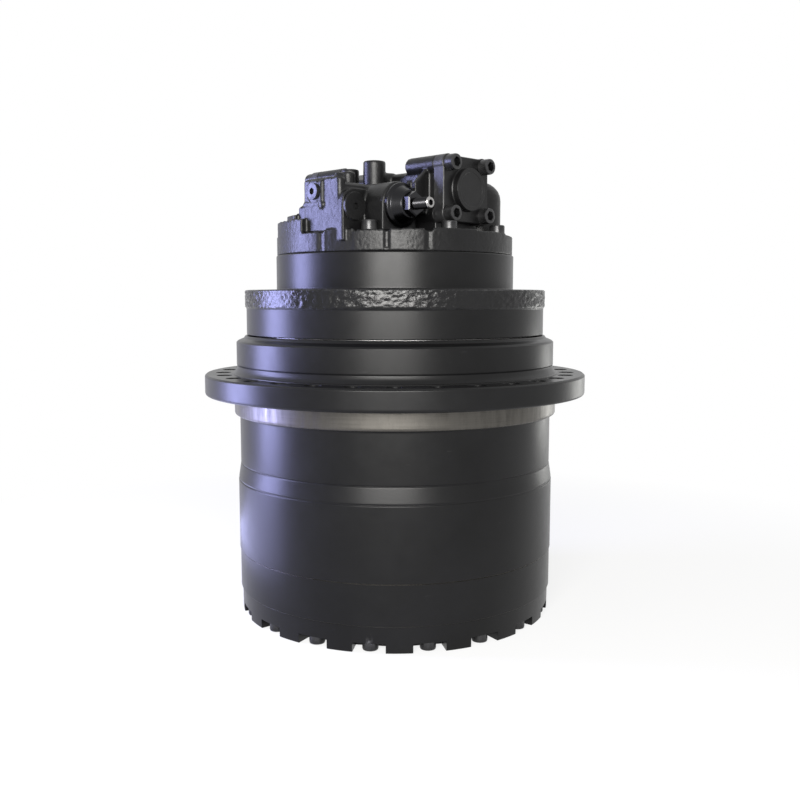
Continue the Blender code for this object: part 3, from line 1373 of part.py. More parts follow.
def make_boss_form(place_of_boss, radius, height):
    """Round boss that stands on the valve body."""
    shell = Shell()
    top = VALVE_BODY_TOP + height
    profile = [(radius, VALVE_BODY_TOP - BOSS_ROOT), (radius, top - BOSS_EDGE), (radius - BOSS_EDGE, top)]
    turned_bar(shell, profile, SMALL, 0.0, place_of_boss)
    return shell


def level_bar(radius, reach, phase=0.0):
    """Round bar of one size, for a boss or a bore."""
    shell = Shell()
    turned_bar(shell, [(radius, 0.0), (radius, reach)], SMALL, phase)
    return shell


def make_port_block(axes):
    """Cast hydraulic block: round flange, spool housing and valve bodies, with their bores."""
    shell = Shell()
    pocket_top = PORT_FLANGE_BOTTOM + REAR_BEARING_HEIGHT
    low, high = shell.turn(
        [(PORT_FLANGE_RADIUS, PORT_FLANGE_BOTTOM), (PORT_FLANGE_RADIUS, BLOCK_SEAT)], ROUND, -BLOCK_TURN
    )
    pocket, pocket_floor = shell.turn(
        [(REAR_BEARING_RADIUS + GAP, PORT_FLANGE_BOTTOM), (REAR_BEARING_RADIUS + GAP, pocket_top)],
        SMALL, -BLOCK_TURN,
    )
    shell.cap(pocket_floor)
    head = [(SCREW_HEAD_RADIUS, BLOCK_SEAT), (SCREW_HEAD_RADIUS, BLOCK_SEAT + SCREW_HEAD_HEIGHT)]
    heads = [shell.stud(head, place) for place in PORT_SCREWS]
    shell.cap(low, pocket)
    shell.cap(high, *heads)
    block = shell.object("port_block", cast_paint(), axes)

    root = BLOCK_SEAT - BLOCK_ROOT
    valve_body = boxed((-VALVE_BODY_BACK, -VALVE_BODY_SIDE, root), (VALVE_BODY_FRONT, 0.0, VALVE_BODY_TOP))
    port_body = boxed((-PORT_BODY_BACK, 0.0, root), (PORT_BODY_FRONT, PORT_FACE, PORT_BODY_TOP))
    lobe_a, lobe_b = LOBE_PLACE
    lobe_link = boxed(
        (lobe_a - LOBE_RADIUS, 0.0, root), (lobe_a + LOBE_RADIUS / 2, lobe_b, PORT_BODY_TOP)
    )
    additions = (
        ("spool_housing", make_housing_form()),
        ("valve_body", valve_body),
        ("port_body", port_body),
        ("lobe_link", lobe_link),
        ("lobe", make_lobe_form()),
        ("rim_panel", make_panel_form()),
        ("tall_boss", make_boss_form(TALL_BOSS_PLACE, TALL_BOSS_RADIUS, TALL_BOSS_HEIGHT)),
        ("short_boss", make_boss_form(SHORT_BOSS_PLACE, SHORT_BOSS_RADIUS, SHORT_BOSS_HEIGHT)),
    )
    for name, tool in additions:
        boolean(block, tool.object(f"{name}_form", cast_paint(), axes), "UNION")
    rear_radius = RELIEF_BOSS_RADIUS * REAR_RELIEF_SCALE
    rear_boss = level_bar(rear_radius, REAR_RELIEF_FACE + BOSS_ROOT / 2, math.pi / SMALL)
    place_of_boss = (-REAR_RELIEF_FACE, -REAR_RELIEF_OFFSET, RELIEF_HEIGHT)
    rear_boss = level_object(rear_boss, "rear_relief_boss_form", cast_paint(), axes, place_of_boss, 0.0)
    boolean(block, rear_boss, "UNION")
    pad_straight = PORT_FLANGE_TOP + FRONT_PAD_RISE - FRONT_PAD_ROUND
    pad = arch_form(
        FRONT_PAD_LENGTH / 2, pad_straight, FRONT_PAD_ROUND, FRONT_PAD_THICKNESS + GAP, root
    )
    arch = arch_form(
        RELIEF_BOSS_RADIUS, RELIEF_HEIGHT, RELIEF_BOSS_RADIUS, RELIEF_BOSS_FACE - RELIEF_BOSS_ROOT, root
    )
    for name, form, place_of_form in (
        ("front_pad", pad, (VALVE_BODY_FRONT - GAP, FRONT_PAD_LENGTH / 2 - VALVE_BODY_SIDE, 0.0)),
        ("relief_arch", arch, (RELIEF_BOSS_ROOT, -RELIEF_OFFSET, 0.0)),
    ):
        tool = form.object(f"{name}_form", cast_paint(), axes, place_of_form)
        boolean(block, tool, "UNION")
    reach = HOUSING_HALF_LENGTH + BOSS_ROOT
    bores = [("spool_bore", SPOOL_BORE_RADIUS, 2 * reach, (-reach, 0.0, SPOOL_HEIGHT), 0.0)]
    for number, middle in enumerate(PORT_PLACES, start=1):
        floor = (middle, PORT_FACE - PORT_PLUG_SINK - PORT_PLUG_LENGTH - GAP, PORT_HEIGHT)
        bores.append((f"port_bore_{number}", PORT_PLUG_RADIUS + GAP, BOSS_ROOT, floor, math.pi / 2))
    for name, radius, reach, place_of_bore, turn in bores:
        bar = level_bar(radius, reach)
        tool = level_object(bar, f"{name}_cutter", cast_paint(), axes, place_of_bore, turn)
        boolean(block, tool, "DIFFERENCE")


def cap_outline():
    """Square cap with a round ear at each corner."""
    points = []
    for x_way, y_way in ((1, 1), (-1, 1), (-1, -1), (1, -1)):
        middle = math.atan2(y_way, x_way)
        for step in (-1.0, -0.33, 0.33, 1.0):
            x, y = polar(CAP_BOSS_RADIUS, middle + step * CAP_BOSS_SWEEP)
            points.append((x_way * CAP_SCREW_RISE + x, y_way * CAP_SCREW_SPREAD + y, 0.0))
    return points


def cap_screw_places():
    return [(x * CAP_SCREW_RISE, y * CAP_SCREW_SPREAD) for x in (-1, 1) for y in (-1, 1)]


def make_valve_cap(name, axes, turn):
    """Bolted cap that closes one end of the spool bore and holds its spring."""
    shell = Shell()
    outline = cap_outline()
    back = shell.loop(at_height(outline, GAP))
    ear = shell.loop(at_height(outline, VALVE_CAP_EAR))
    shell.wall(back, ear)
    disc_low, disc_high = shell.turn(
        [
            (VALVE_CAP_FACE_RADIUS, VALVE_CAP_EAR),
            (VALVE_CAP_FACE_RADIUS, VALVE_CAP_HEIGHT - VALVE_CAP_EDGE),
            (VALVE_CAP_FACE_RADIUS - VALVE_CAP_EDGE, VALVE_CAP_HEIGHT),
        ],
        MEDIUM,
    )
    chamber, chamber_floor = shell.turn(
        [(SPOOL_BORE_RADIUS, GAP), (SPOOL_BORE_RADIUS, VALVE_CAP_EAR)], SMALL
    )
    head = [(SCREW_HEAD_RADIUS, VALVE_CAP_EAR), (SCREW_HEAD_RADIUS, VALVE_CAP_EAR + SCREW_HEAD_HEIGHT)]
    shell.cap(back, chamber)
    shell.cap(ear, disc_low, *(shell.stud(head, place) for place in cap_screw_places()))
    shell.cap(disc_high)
    shell.cap(chamber_floor)
    face = (*polar(HOUSING_HALF_LENGTH, turn), SPOOL_HEIGHT)
    level_object(shell, f"{name}_valve_cap", cast_paint(), axes, face, turn)


def make_valve_caps(axes):
    make_valve_cap("front", axes, 0.0)
    make_valve_cap("rear", axes, math.pi)


def make_spool(axes):
    shell = Shell()
    land = SPOOL_LENGTH * SPOOL_LAND_SHARE
    waist = SPOOL_RADIUS * SPOOL_WAIST_SHARE
    half = SPOOL_LENGTH / 2
    turned_bar(
        shell,
        [
            (SPOOL_RADIUS, -half),
            (SPOOL_RADIUS, -half + land),
            (waist, -half + land),
            (waist, -land / 2),
            (SPOOL_RADIUS, -land / 2),
            (SPOOL_RADIUS, land / 2),
            (waist, land / 2),
            (waist, half - land),
            (SPOOL_RADIUS, half - land),
            (SPOOL_RADIUS, half),
        ],
        SMALL,
    )
    level_object(shell, "counterbalance_spool", bearing_steel(), axes, (0.0, 0.0, SPOOL_HEIGHT), 0.0)
    room = HOUSING_HALF_LENGTH + VALVE_CAP_EAR - GAP - half - GAP
    for name, turn in (("front", 0.0), ("rear", math.pi)):
        start = (*polar(half + GAP, turn), SPOOL_HEIGHT)
        coil = make_coil(SPOOL_RADIUS - SPRING_WIRE - GAP, room)
        level_object(coil, f"{name}_spool_spring", bearing_steel(), axes, start, turn)


def make_coil(radius, length):
    """Square-section coil spring standing on the level plane."""
    shell = Shell()
    rings = []
    steps = SPRING_TURNS * SPRING_STEPS
    for step in range(steps + 1):
        angle = 2 * math.pi * step / SPRING_STEPS
        height = SPRING_WIRE + (length - 2 * SPRING_WIRE) * step / steps
        outward = Vector((math.cos(angle), math.sin(angle), 0.0))
        middle = outward * radius + Vector((0.0, 0.0, height))
        corners = []
        for out, up in ((1, 0), (0, 1), (-1, 0), (0, -1)):
            corners.append(middle + outward * SPRING_WIRE * out + Vector((0.0, 0.0, SPRING_WIRE * up)))
        rings.append(shell.loop(corners))
    for first, second in zip(rings, rings[1:]):
        shell.wall(first, second)
    shell.bm.faces.new(rings[0])
    shell.bm.faces.new(rings[-1])
    return shell


def make_relief_valve(name, axes, place_of_valve, turn, scale):
    """Relief valve: cone cartridge on its boss, lock nut and adjuster stud."""
    cartridge = Shell()
    cone = RELIEF_CONE_LENGTH * scale
    turned_bar(
        cartridge,
        [
            (RELIEF_BOSS_RADIUS * RELIEF_FOOT_SHARE * scale, GAP),
            (RELIEF_BOSS_RADIUS * RELIEF_FOOT_SHARE * scale, GAP + cone / 4),
            (RELIEF_BOSS_RADIUS * RELIEF_TIP_SHARE * scale, cone),
        ],
        SMALL, math.pi / SMALL,
    )
    level_object(cartridge, f"{name}_relief_valve", screw_steel(), axes, place_of_valve, turn)
    nut = Shell()
    nut_radius = RELIEF_NUT_RADIUS * scale
    stud_radius = RELIEF_STUD_RADIUS * scale
    nut_low = cone + GAP
    nut_high = nut_low + RELIEF_NUT_HEIGHT * scale
    low, high = nut.turn([(nut_radius, nut_low), (nut_radius, nut_high)], HOLE_SIDES)
    bore_low, bore_high = nut.turn([(stud_radius + GAP, nut_low), (stud_radius + GAP, nut_high)], BOLT_SIDES)
    nut.cap(low, bore_low)
    nut.cap(high, bore_high)
    level_object(nut, f"{name}_lock_nut", screw_steel(), axes, place_of_valve, turn)
    stud = Shell()
    turned_bar(stud, [(stud_radius, nut_low), (stud_radius, cone + RELIEF_STUD_LENGTH * scale)], BOLT_SIDES)
    level_object(stud, f"{name}_adjuster", screw_steel(), axes, place_of_valve, turn)


def make_relief_valves(axes):
    front_place = (RELIEF_BOSS_FACE, -RELIEF_OFFSET, RELIEF_HEIGHT)
    make_relief_valve("front", axes, front_place, 0.0, 1.0)
    rear_place = (-REAR_RELIEF_FACE, -REAR_RELIEF_OFFSET, RELIEF_HEIGHT)
    make_relief_valve("rear", axes, rear_place, math.pi, REAR_RELIEF_SCALE)


def make_plugs(axes):
    """Screwed plugs that close the front gallery, the side gallery and the two main ports."""
    plugs = [
        ("front_plug", FRONT_PLUG_RADIUS, FRONT_PLUG_HEIGHT,
         (VALVE_BODY_FRONT + FRONT_PAD_THICKNESS + GAP, -FRONT_PLUG_OFFSET, FRONT_PLUG_LEVEL), 0.0),
        ("side_plug", SIDE_PLUG_RADIUS, SIDE_PLUG_HEIGHT,
         (SIDE_PLUG_PLACE, -VALVE_BODY_SIDE - GAP, SIDE_PLUG_LEVEL), -math.pi / 2),
    ]
    for number, middle in enumerate(PORT_PLACES, start=1):
        floor = (middle, PORT_FACE - PORT_PLUG_SINK - PORT_PLUG_LENGTH, PORT_HEIGHT)
        plugs.append((f"main_port_plug_{number}", PORT_PLUG_RADIUS, PORT_PLUG_LENGTH, floor, math.pi / 2))
    for name, radius, height, place_of_plug, turn in plugs:
        level_object(level_bar(radius, height), name, screw_steel(), axes, place_of_plug, turn)


def main():
    for leftover in list(bpy.data.objects):
        bpy.data.objects.remove(leftover)
    make_cover()
    make_cover_plugs()
    make_ring_gear()
    make_drum()
    make_first_stage()
    make_final_stage()
    make_main_bearing("lower", LOWER_BEARING_BOTTOM, wide_end_down=True)
    make_main_bearing("upper", UPPER_BEARING_BOTTOM, wide_end_down=False)
    make_bearing_nut()
    make_face_seal()
    make_spindle()
    make_shaft_parts()
    make_cylinder_block()
    make_pistons()
    make_valve_plate()
    make_swash_plate()
    make_brake()
    axes = empty("block_axes", rotation=(0.0, 0.0, BLOCK_TURN))
    make_port_block(axes)
    make_valve_caps(axes)
    make_spool(axes)
    make_relief_valves(axes)
    make_plugs(axes)


main()
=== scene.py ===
"""Excavator final drive: smooth casings, screws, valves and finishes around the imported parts.

All sizes are in metres. +Z runs up the drive's own axis, and the viewer stands at -Y.
"""

import math

import bmesh
import bpy
from bpy.props import FloatProperty, FloatVectorProperty, IntProperty, PointerProperty
from mathutils import Matrix, Vector, noise


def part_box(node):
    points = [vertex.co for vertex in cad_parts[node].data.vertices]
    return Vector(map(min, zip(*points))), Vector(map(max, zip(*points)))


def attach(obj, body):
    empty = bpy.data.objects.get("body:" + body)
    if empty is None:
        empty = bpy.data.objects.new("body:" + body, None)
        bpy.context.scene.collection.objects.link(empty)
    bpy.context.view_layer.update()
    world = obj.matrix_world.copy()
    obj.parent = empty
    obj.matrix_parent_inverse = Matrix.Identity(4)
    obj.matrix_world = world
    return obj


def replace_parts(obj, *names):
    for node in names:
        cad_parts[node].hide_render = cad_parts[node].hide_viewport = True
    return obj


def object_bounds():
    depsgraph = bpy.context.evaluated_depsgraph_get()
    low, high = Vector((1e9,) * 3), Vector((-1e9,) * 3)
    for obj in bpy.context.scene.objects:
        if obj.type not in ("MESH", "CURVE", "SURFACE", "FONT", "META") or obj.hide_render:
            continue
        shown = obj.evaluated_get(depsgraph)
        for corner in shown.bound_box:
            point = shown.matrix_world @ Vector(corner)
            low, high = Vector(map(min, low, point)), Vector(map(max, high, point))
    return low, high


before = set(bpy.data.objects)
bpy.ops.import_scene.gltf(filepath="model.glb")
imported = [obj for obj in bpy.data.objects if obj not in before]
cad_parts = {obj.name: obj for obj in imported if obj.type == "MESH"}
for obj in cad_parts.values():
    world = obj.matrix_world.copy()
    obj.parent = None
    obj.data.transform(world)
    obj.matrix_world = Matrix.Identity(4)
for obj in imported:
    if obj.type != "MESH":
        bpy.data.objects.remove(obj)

CAD_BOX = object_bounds()

bl_info = {
    "name": "Excavator final drive",
    "version": (1, 0, 0),
    "blender": (4, 5, 0),
    "location": "View3D > Sidebar > Final drive",
    "description": "Builds the casings, screws, valves and finishes of a planetary track drive",
    "category": "Object",
}

# Clearances
GAP = 0.0003  # between pieces that meet
HOLD = 0.0015  # from an edge to the ring that keeps the lighter edge colour (wear, on castings partly a painted highlight) beside it
EDGE = 0.0008  # broken edge of a hole
SEAL_GAP = 0.00015  # between a seal ring and its roof
SEAL_ROOM = 0.016  # depth of the pocket round the face seal
SEAL_POCKET = 0.2015  # radius of that pocket

# Sides of round forms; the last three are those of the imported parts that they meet
ROUND = 240
BORE = 48
SCREW_SIDES = 36
INNER = 18
MEDIUM = 16
SMALL = 10

# The block stands turned on the drive: its own x axis runs along the spool
BLOCK_TURN = math.radians(-45)
LEVEL = Matrix.Rotation(math.pi / 2, 4, "Y")
BLOCK_AXES = Matrix.Rotation(BLOCK_TURN, 4, "Z")
SPOOL_HEIGHT = 0.593
VALVE_HEIGHT = 0.569
PORT_HEIGHT = 0.572
HOUSING_HALF = 0.118  # half the length of the spool housing
EAR_RADIUS = 0.0125
EAR_RISE = 0.0322  # of a cap's ears from the spool's axis, up and down
CAP_SCREW_RISE = 0.0328
CAP_SCREW_SPREAD = 0.0345  # of the cap's screws from the spool's axis, sideways

WHITE = (1.0, 1.0, 1.0)
WHITE_RAYS = ("Is Camera Ray", "Is Glossy Ray", "Is Transmission Ray")


# Settings that a user would change


def amount(name, description, default, **kind):
    return FloatProperty(name=name, description=description, default=default, min=0.0, **kind)


def length(name, description, default):
    return amount(name, description, default, unit="LENGTH", precision=4)


def share(name, description, default):
    return amount(name, description, default, max=1.0, subtype="FACTOR")


def colour(name, description, default):
    return FloatVectorProperty(
        name=name, description=description, default=default, size=3, min=0.0, max=1.0, subtype="COLOR"
    )


def count(name, description, default):
    return IntProperty(name=name, description=description, default=default, min=1)


class DriveCasings(bpy.types.PropertyGroup):
    """Radii and heights of the turned casings."""

    cover_radius: length("Cover radius", "Outer radius of the end cover", 0.226)
    cover_top: length("Cover top", "Height of the joint between cover and ring gear", 0.0355)
    ring_radius: length("Ring gear radius", "Outer radius of the ring gear's flange", 0.228)
    ring_top: length("Ring gear top", "Height of the joint between ring gear and drum", 0.091)
    skirt_radius: length("Skirt radius", "Outer radius of the drum's lower wall", 0.229)
    skirt_top: length("Skirt top", "Height where the drum starts to taper", 0.193)
    waist_radius: length("Waist radius", "Outer radius of the drum above its taper", 0.2255)
    waist_bottom: length("Waist bottom", "Height where the taper ends", 0.2155)
    pilot_radius: length("Pilot radius", "Radius of the bare band that centres the sprocket", 0.233)
    pilot_bottom: length("Pilot bottom", "Lower edge of the bare band", 0.285)
    flange_radius: length("Flange radius", "Outer radius of the sprocket flange", 0.274)
    flange_bottom: length("Flange bottom", "Seat of the sprocket", 0.3132)
    flange_top: length("Flange top", "Upper face of the sprocket flange", 0.3427)
    collar_radius: length("Collar radius", "Outer radius of the seal collar", 0.229)
    collar_bottom: length("Collar bottom", "Height where the cove meets the collar", 0.356)
    collar_top: length("Collar top", "Height where the collar tapers", 0.3895)
    neck_radius: length("Neck radius", "Radius of the spindle's neck", 0.214)
    neck_top: length("Neck top", "Underside of the rough frame flange", 0.4352)
    frame_radius: length("Frame flange radius", "Radius of the rough frame flange", 0.2155)
    frame_top: length("Frame flange top", "Face that bolts to the track frame", 0.4605)
    case_radius: length("Motor case radius", "Radius of the motor case", 0.1706)


class DriveScrews(bpy.types.PropertyGroup):
    """Socket screws and bolt holes."""

    head_radius: length("Head radius", "Radius of a socket screw's head", 0.0105)
    head_height: length("Head height", "Height of a socket screw's head", 0.014)
    socket_radius: length("Socket radius", "Radius across the corners of the hexagon socket", 0.0064)
    cover_count: count("Cover screws", "Number of screws in the cover's rim", 18)
    cover_circle: length("Cover screw circle", "Radius of the cover's screw circle", 0.213)
    sprocket_count: count("Sprocket holes", "Number of bolt holes in the sprocket flange", 30)
    sprocket_circle: length("Sprocket hole circle", "Radius of the sprocket's bolt circle", 0.2485)
    sprocket_radius: length("Sprocket hole radius", "Radius of a sprocket bolt hole", 0.0105)
    port_count: count("Block screws", "Number of screws in the hydraulic block's flange", 9)
    port_circle: length("Block screw circle", "Radius of the block's screw circle", 0.153)
    frame_count: count("Frame holes", "Number of tapped holes in the frame flange", 16)
    frame_circle: length("Frame hole circle", "Radius of the frame flange's hole circle", 0.195)


class DriveFinishes(bpy.types.PropertyGroup):
    """Colours and gloss of the finishes."""

    paint: colour("Casing paint", "Satin charcoal of the turned casings", (0.0032, 0.0032, 0.0034))
    cast: colour("Cast paint", "Charcoal over the rough castings", (0.0036, 0.0036, 0.0038))
    steel: colour("Bare steel", "Machined steel of the pilot band", (0.092, 0.087, 0.079))
    blued: colour("Blued steel", "Dark polished steel of the relief valves", (0.028, 0.028, 0.030))
    gear: colour("Gear steel", "Hardened steel of the gears", (0.30, 0.295, 0.29))
    oxide: colour("Black screws", "Black oxide of the screws", (0.0055, 0.0055, 0.006))
    bronze: colour("Bronze", "Bronze of the sliding pieces", (0.52, 0.33, 0.14))
    rubber: colour("Rubber", "Black rubber of the seals", (0.012, 0.012, 0.012))
    lining: colour("Lining", "Paper lining of the brake disc", (0.20, 0.15, 0.09))
    paint_roughness: share("Paint roughness", "Roughness of the satin paint", 0.33)
    cast_roughness: share("Cast roughness", "Roughness of the painted castings", 0.40)


class DriveStage(bpy.types.PropertyGroup):
    """Floor, lamps and camera."""

    floor: colour("Floor", "Colour of the floor", (0.9, 0.9, 0.9))
    shadow: share("Shadow", "How much of the floor near the drive takes light and shadow", 0.22)
    ambient: amount("Ambient", "Light from all around", 0.35)
    side_lamp: amount("Side lamp", "Power of the cool lamp on the left, in watts", 42.0)
    low_lamp: amount("Low lamp", "Power of the cool lamp that lies on the floor at the left, in watts", 5.5)
    front_lamp: amount("Front lamp", "Power of the lamp behind the viewer, in watts", 76.0)
    right_lamp: amount("Right lamp", "Power of the lamp at the back right, in watts", 1.5)
    lens: amount("Lens", "Focal length in millimetres", 41.47)


# Surfaces built of loops


def polar(radius, angle):
    return (radius * math.cos(angle), radius * math.sin(angle))


def circle(radius, height, sides, phase=0.0, centre=(0.0, 0.0)):
    points = []
    for step in range(sides):
        x, y = polar(radius, phase + 2 * math.pi * step / sides)
        points.append((centre[0] + x, centre[1] + y, height))
    return points


def around(total, radius, start):
    """Places spaced evenly on a circle."""
    return [polar(radius, start + 2 * math.pi * i / total) for i in range(total)]


def rounded(chain, steps=4):
    """Chain of (radius, height) points from (radius, height, rounding) corners."""
    points = []
    for i, (r, z, *edge) in enumerate(chain):
        if not edge or i in (0, len(chain) - 1):
            points.append((r, z))
            continue
        corner = Vector((r, z))
        before = Vector(chain[i - 1][:2]) - corner
        after = Vector(chain[i + 1][:2]) - corner
        reach = min(edge[0], before.length * 0.45, after.length * 0.45)
        start = corner + before.normalized() * reach
        end = corner + after.normalized() * reach
        for step in range(steps + 1):
            t = step / steps
            point = start * (1 - t) ** 2 + corner * 2 * t * (1 - t) + end * t**2
            points.append(tuple(point))
    return held(points)


def held(points):
    """Add a ring beside each end of a long straight run, so that the lighter edge colour, worn paint and on castings
    partly a painted highlight, stays at the edges.
    """
    chain = [points[0]]
    for before, after in zip(points, points[1:]):
        start, end = Vector(before), Vector(after)
        run = end - start
        if run.length > 4 * HOLD:
            step = run.normalized() * HOLD
            chain += [tuple(start + step), tuple(end - step)]
        chain.append(after)
    return chain


class Form:
    """A closed surface made of point loops, walls between them and flat caps across them."""

    def __init__(self):
        self.bm = bmesh.new()

    def loop(self, points):
        return [self.bm.verts.new(point) for point in points]

    def wall(self, first, second):
        for i in range(len(first)):
            j = (i + 1) % len(first)
            self.bm.faces.new((first[i], first[j], second[j], second[i]))

    def cap(self, outer, *holes):
        edges = []
        for ring in (outer, *holes):
            for i, vert in enumerate(ring):
                following = ring[(i + 1) % len(ring)]
                edge = self.bm.edges.get((vert, following))
                edges.append(edge or self.bm.edges.new((vert, following)))
        bmesh.ops.triangle_fill(self.bm, use_beauty=True, edges=edges)

    def loft(self, *outlines):
        """Closed body through outlines of points, from the first to the last."""
        loops = [self.loop(points) for points in outlines]
        for first, second in zip(loops, loops[1:]):
            self.wall(first, second)
        self.cap(loops[0])
        self.cap(loops[-1])

    def turn(self, profile, sides=ROUND, phase=0.0, centre=(0.0, 0.0)):
        """Walls round an upright axis; gives back the first and last loop."""
        loops = [self.loop(circle(r, z, sides, phase, centre)) for r, z in profile]
        for first, second in zip(loops, loops[1:]):
            self.wall(first, second)
        return loops[0], loops[-1]

    def bar(self, profile, sides=BORE, phase=0.0, centre=(0.0, 0.0)):
        """Solid turned body."""
        self.loft(*(circle(r, z, sides, phase, centre) for r, z in profile))

    def prism(self, outline, low, high):
        """A straight block over an outline of (x, y) points."""
        self.loft([(x, y, low) for x, y in outline], [(x, y, high) for x, y in outline])

    def pocket(self, radius, mouth, floor, centre, sides=BORE, edge=EDGE):
        """Blind hole with a broken edge; gives back its mouth."""
        way = math.copysign(1.0, floor - mouth)
        phase = math.atan2(centre[1], centre[0])
        profile = [
            (radius + edge + HOLD, mouth), (radius + edge, mouth),
            (radius, mouth + way * edge), (radius, floor),
        ]
        start, end = self.turn(profile, sides, phase, centre)
        self.cap(end)
        return start

    def hole(self, radius, low, high, centre, sides=BORE, edge=EDGE):
        """Through hole with broken edges; gives back its two mouths."""
        phase = math.atan2(centre[1], centre[0])
        rim = radius + edge
        profile = [
            (rim + HOLD, low), (rim, low), (radius, low + edge),
            (radius, high - edge), (rim, high), (rim + HOLD, high),
        ]
        return self.turn(profile, sides, phase, centre)

    def socket_head(self, centre, foot, top, radius, socket, phase=0.0):
        """Screw head with a fluted side, a rounded rim and a hexagon socket."""
        way = math.copysign(1.0, top - foot)
        flute_depth = 0.00022
        flutes = []
        for step in range(2 * SCREW_SIDES):
            bite = flute_depth if step % 2 else 0.0
            x, y = polar(radius - bite, math.pi * step / SCREW_SIDES)
            flutes.append((centre[0] + x, centre[1] + y))
        low = self.loop([(x, y, foot) for x, y in flutes])
        high = self.loop([(x, y, top - way * 0.0022) for x, y in flutes])
        self.wall(low, high)
        self.cap(low)
        rim = [
            (radius - 0.0001, top - way * 0.0018),
            (radius - 0.0005, top - way * 0.0005),
            (radius - 0.0016, top),
        ]
        start, end = self.turn(rim, 2 * SCREW_SIDES, 0.0, centre)
        self.wall(high, start)
        depth = abs(top - foot) * 0.55
        hexagon = [(socket * 1.06, top), (socket, top - way * 0.0005), (socket, top - way * depth)]
        mouth, floor = self.turn(hexagon, 6, phase, centre)
        self.cap(end, mouth)
        tip = self.bm.verts.new((centre[0], centre[1], top - way * (depth + socket * 0.35)))
        for i in range(6):
            self.bm.faces.new((floor[i], floor[(i + 1) % 6], tip))

    def finish(self, name, body, *finishes, matrix=None, sharp=32, smooth=True):
        """Make the piece, put it in place and let it ride on its body."""
        bmesh.ops.recalc_face_normals(self.bm, faces=self.bm.faces)
        mesh = bpy.data.meshes.new(name)
        self.bm.to_mesh(mesh)
        self.bm.free()
        if matrix:
            mesh.transform(matrix)
        return piece_of(mesh, name, body, *finishes, sharp=sharp, smooth=smooth)


def keep_flat(piece, sharp):
    """Shade smooth up to the sharp angle, and leave the flat faces flat."""
    piece.data.shade_smooth()
    piece.data.set_sharp_from_angle(angle=math.radians(sharp))
    weighted = piece.modifiers.new("flat_faces_stay_flat", "WEIGHTED_NORMAL")
    weighted.keep_sharp = True


def piece_of(mesh, name, body, *finishes, sharp=32, smooth=True):
    """Object of the mesh, shaded and riding on its body."""
    piece = bpy.data.objects.new(name, mesh)
    bpy.context.scene.collection.objects.link(piece)
    for finish in finishes:
        mesh.materials.append(finish)
    if smooth:
        keep_flat(piece, sharp)
    if body:
        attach(piece, body)
    return piece


def paint_faces(piece, rule):
    """Give each face the finish that the rule names for its middle's radius and height."""
    for polygon in piece.data.polygons:
        middle = polygon.center
        polygon.material_index = rule(math.hypot(middle.x, middle.y), middle.z, polygon.normal)


def apply_modifiers(piece):
    """Fix the piece's modifiers into its mesh."""
    depsgraph = bpy.context.evaluated_depsgraph_get()
    made = bpy.data.meshes.new_from_object(piece.evaluated_get(depsgraph))
    piece.modifiers.clear()
    piece.data = made


def cut_away(piece, form, solver="EXACT"):
    """Cut the form out of the piece."""
    tool = form.finish("cutter", None, smooth=False)
    change = piece.modifiers.new("cut", "BOOLEAN")
    change.operation = "DIFFERENCE"
    change.solver = solver
    change.object = tool
    apply_modifiers(piece)
    bpy.data.objects.remove(tool)


def soften(piece, width, angle):
    """Break the piece's sharp edges, before its other modifiers."""
    bevel = piece.modifiers.new("broken_edges", "BEVEL")
    bevel.width = width
    bevel.segments = 2
    bevel.limit_method = "ANGLE"
    bevel.angle_limit = math.radians(angle)
    piece.modifiers.move(len(piece.modifiers) - 1, 0)


# Finishes


class Value:
    """One output socket; arithmetic on it adds Math nodes."""

    def __init__(self, nodes, socket):
        self.nodes = nodes
        self.socket = socket

    def math(self, operation, first, second):
        return self.nodes.node("ShaderNodeMath", {"operation": operation}, {0: first, 1: second})

    def __add__(self, other):
        return self.math("ADD", self, other)

    def __radd__(self, other):
        return self.math("ADD", other, self)

    def __sub__(self, other):
        return self.math("SUBTRACT", self, other)

    def __rsub__(self, other):
        return self.math("SUBTRACT", other, self)

    def __mul__(self, other):
        return self.math("MULTIPLY", self, other)

    def __rmul__(self, other):
        return self.math("MULTIPLY", other, self)

    def __pow__(self, other):
        return self.math("POWER", self, other)

    def most(self, other):
        return self.math("MAXIMUM", self, other)


class Nodes:
    """A node tree under construction, with one method for every node."""

    def __init__(self, tree):
        self.tree = tree

    def node(self, kind, settings=None, inputs=None, output=0):
        made = self.tree.nodes.new(kind)
        for key, value in (settings or {}).items():
            if key == "stops":
                self.set_stops(made.color_ramp, value)
            else:
                setattr(made, key, value)
        for key, value in (inputs or {}).items():
            self.feed(made.inputs[key], value)
        return Value(self, made.outputs[output]) if made.outputs else None

    def set_stops(self, ramp, stops):
        while len(ramp.elements) < len(stops):
            ramp.elements.new(1.0)
        for element, (position, level) in zip(ramp.elements, stops):
            element.position = position
            element.color = (level, level, level, 1.0)

    def feed(self, socket, value):
        if isinstance(value, Value):
            self.tree.links.new(value.socket, socket)
        elif socket.type == "RGBA":
            socket.default_value = (*value, 1.0) if len(value) == 3 else value
        else:
            socket.default_value = value

    def white_rays(self):
        """Mask of the rays for which the surroundings read white."""
        camera, glossy, transmission = [self.node("ShaderNodeLightPath", output=name) for name in WHITE_RAYS]
        return camera.most(glossy).most(transmission)


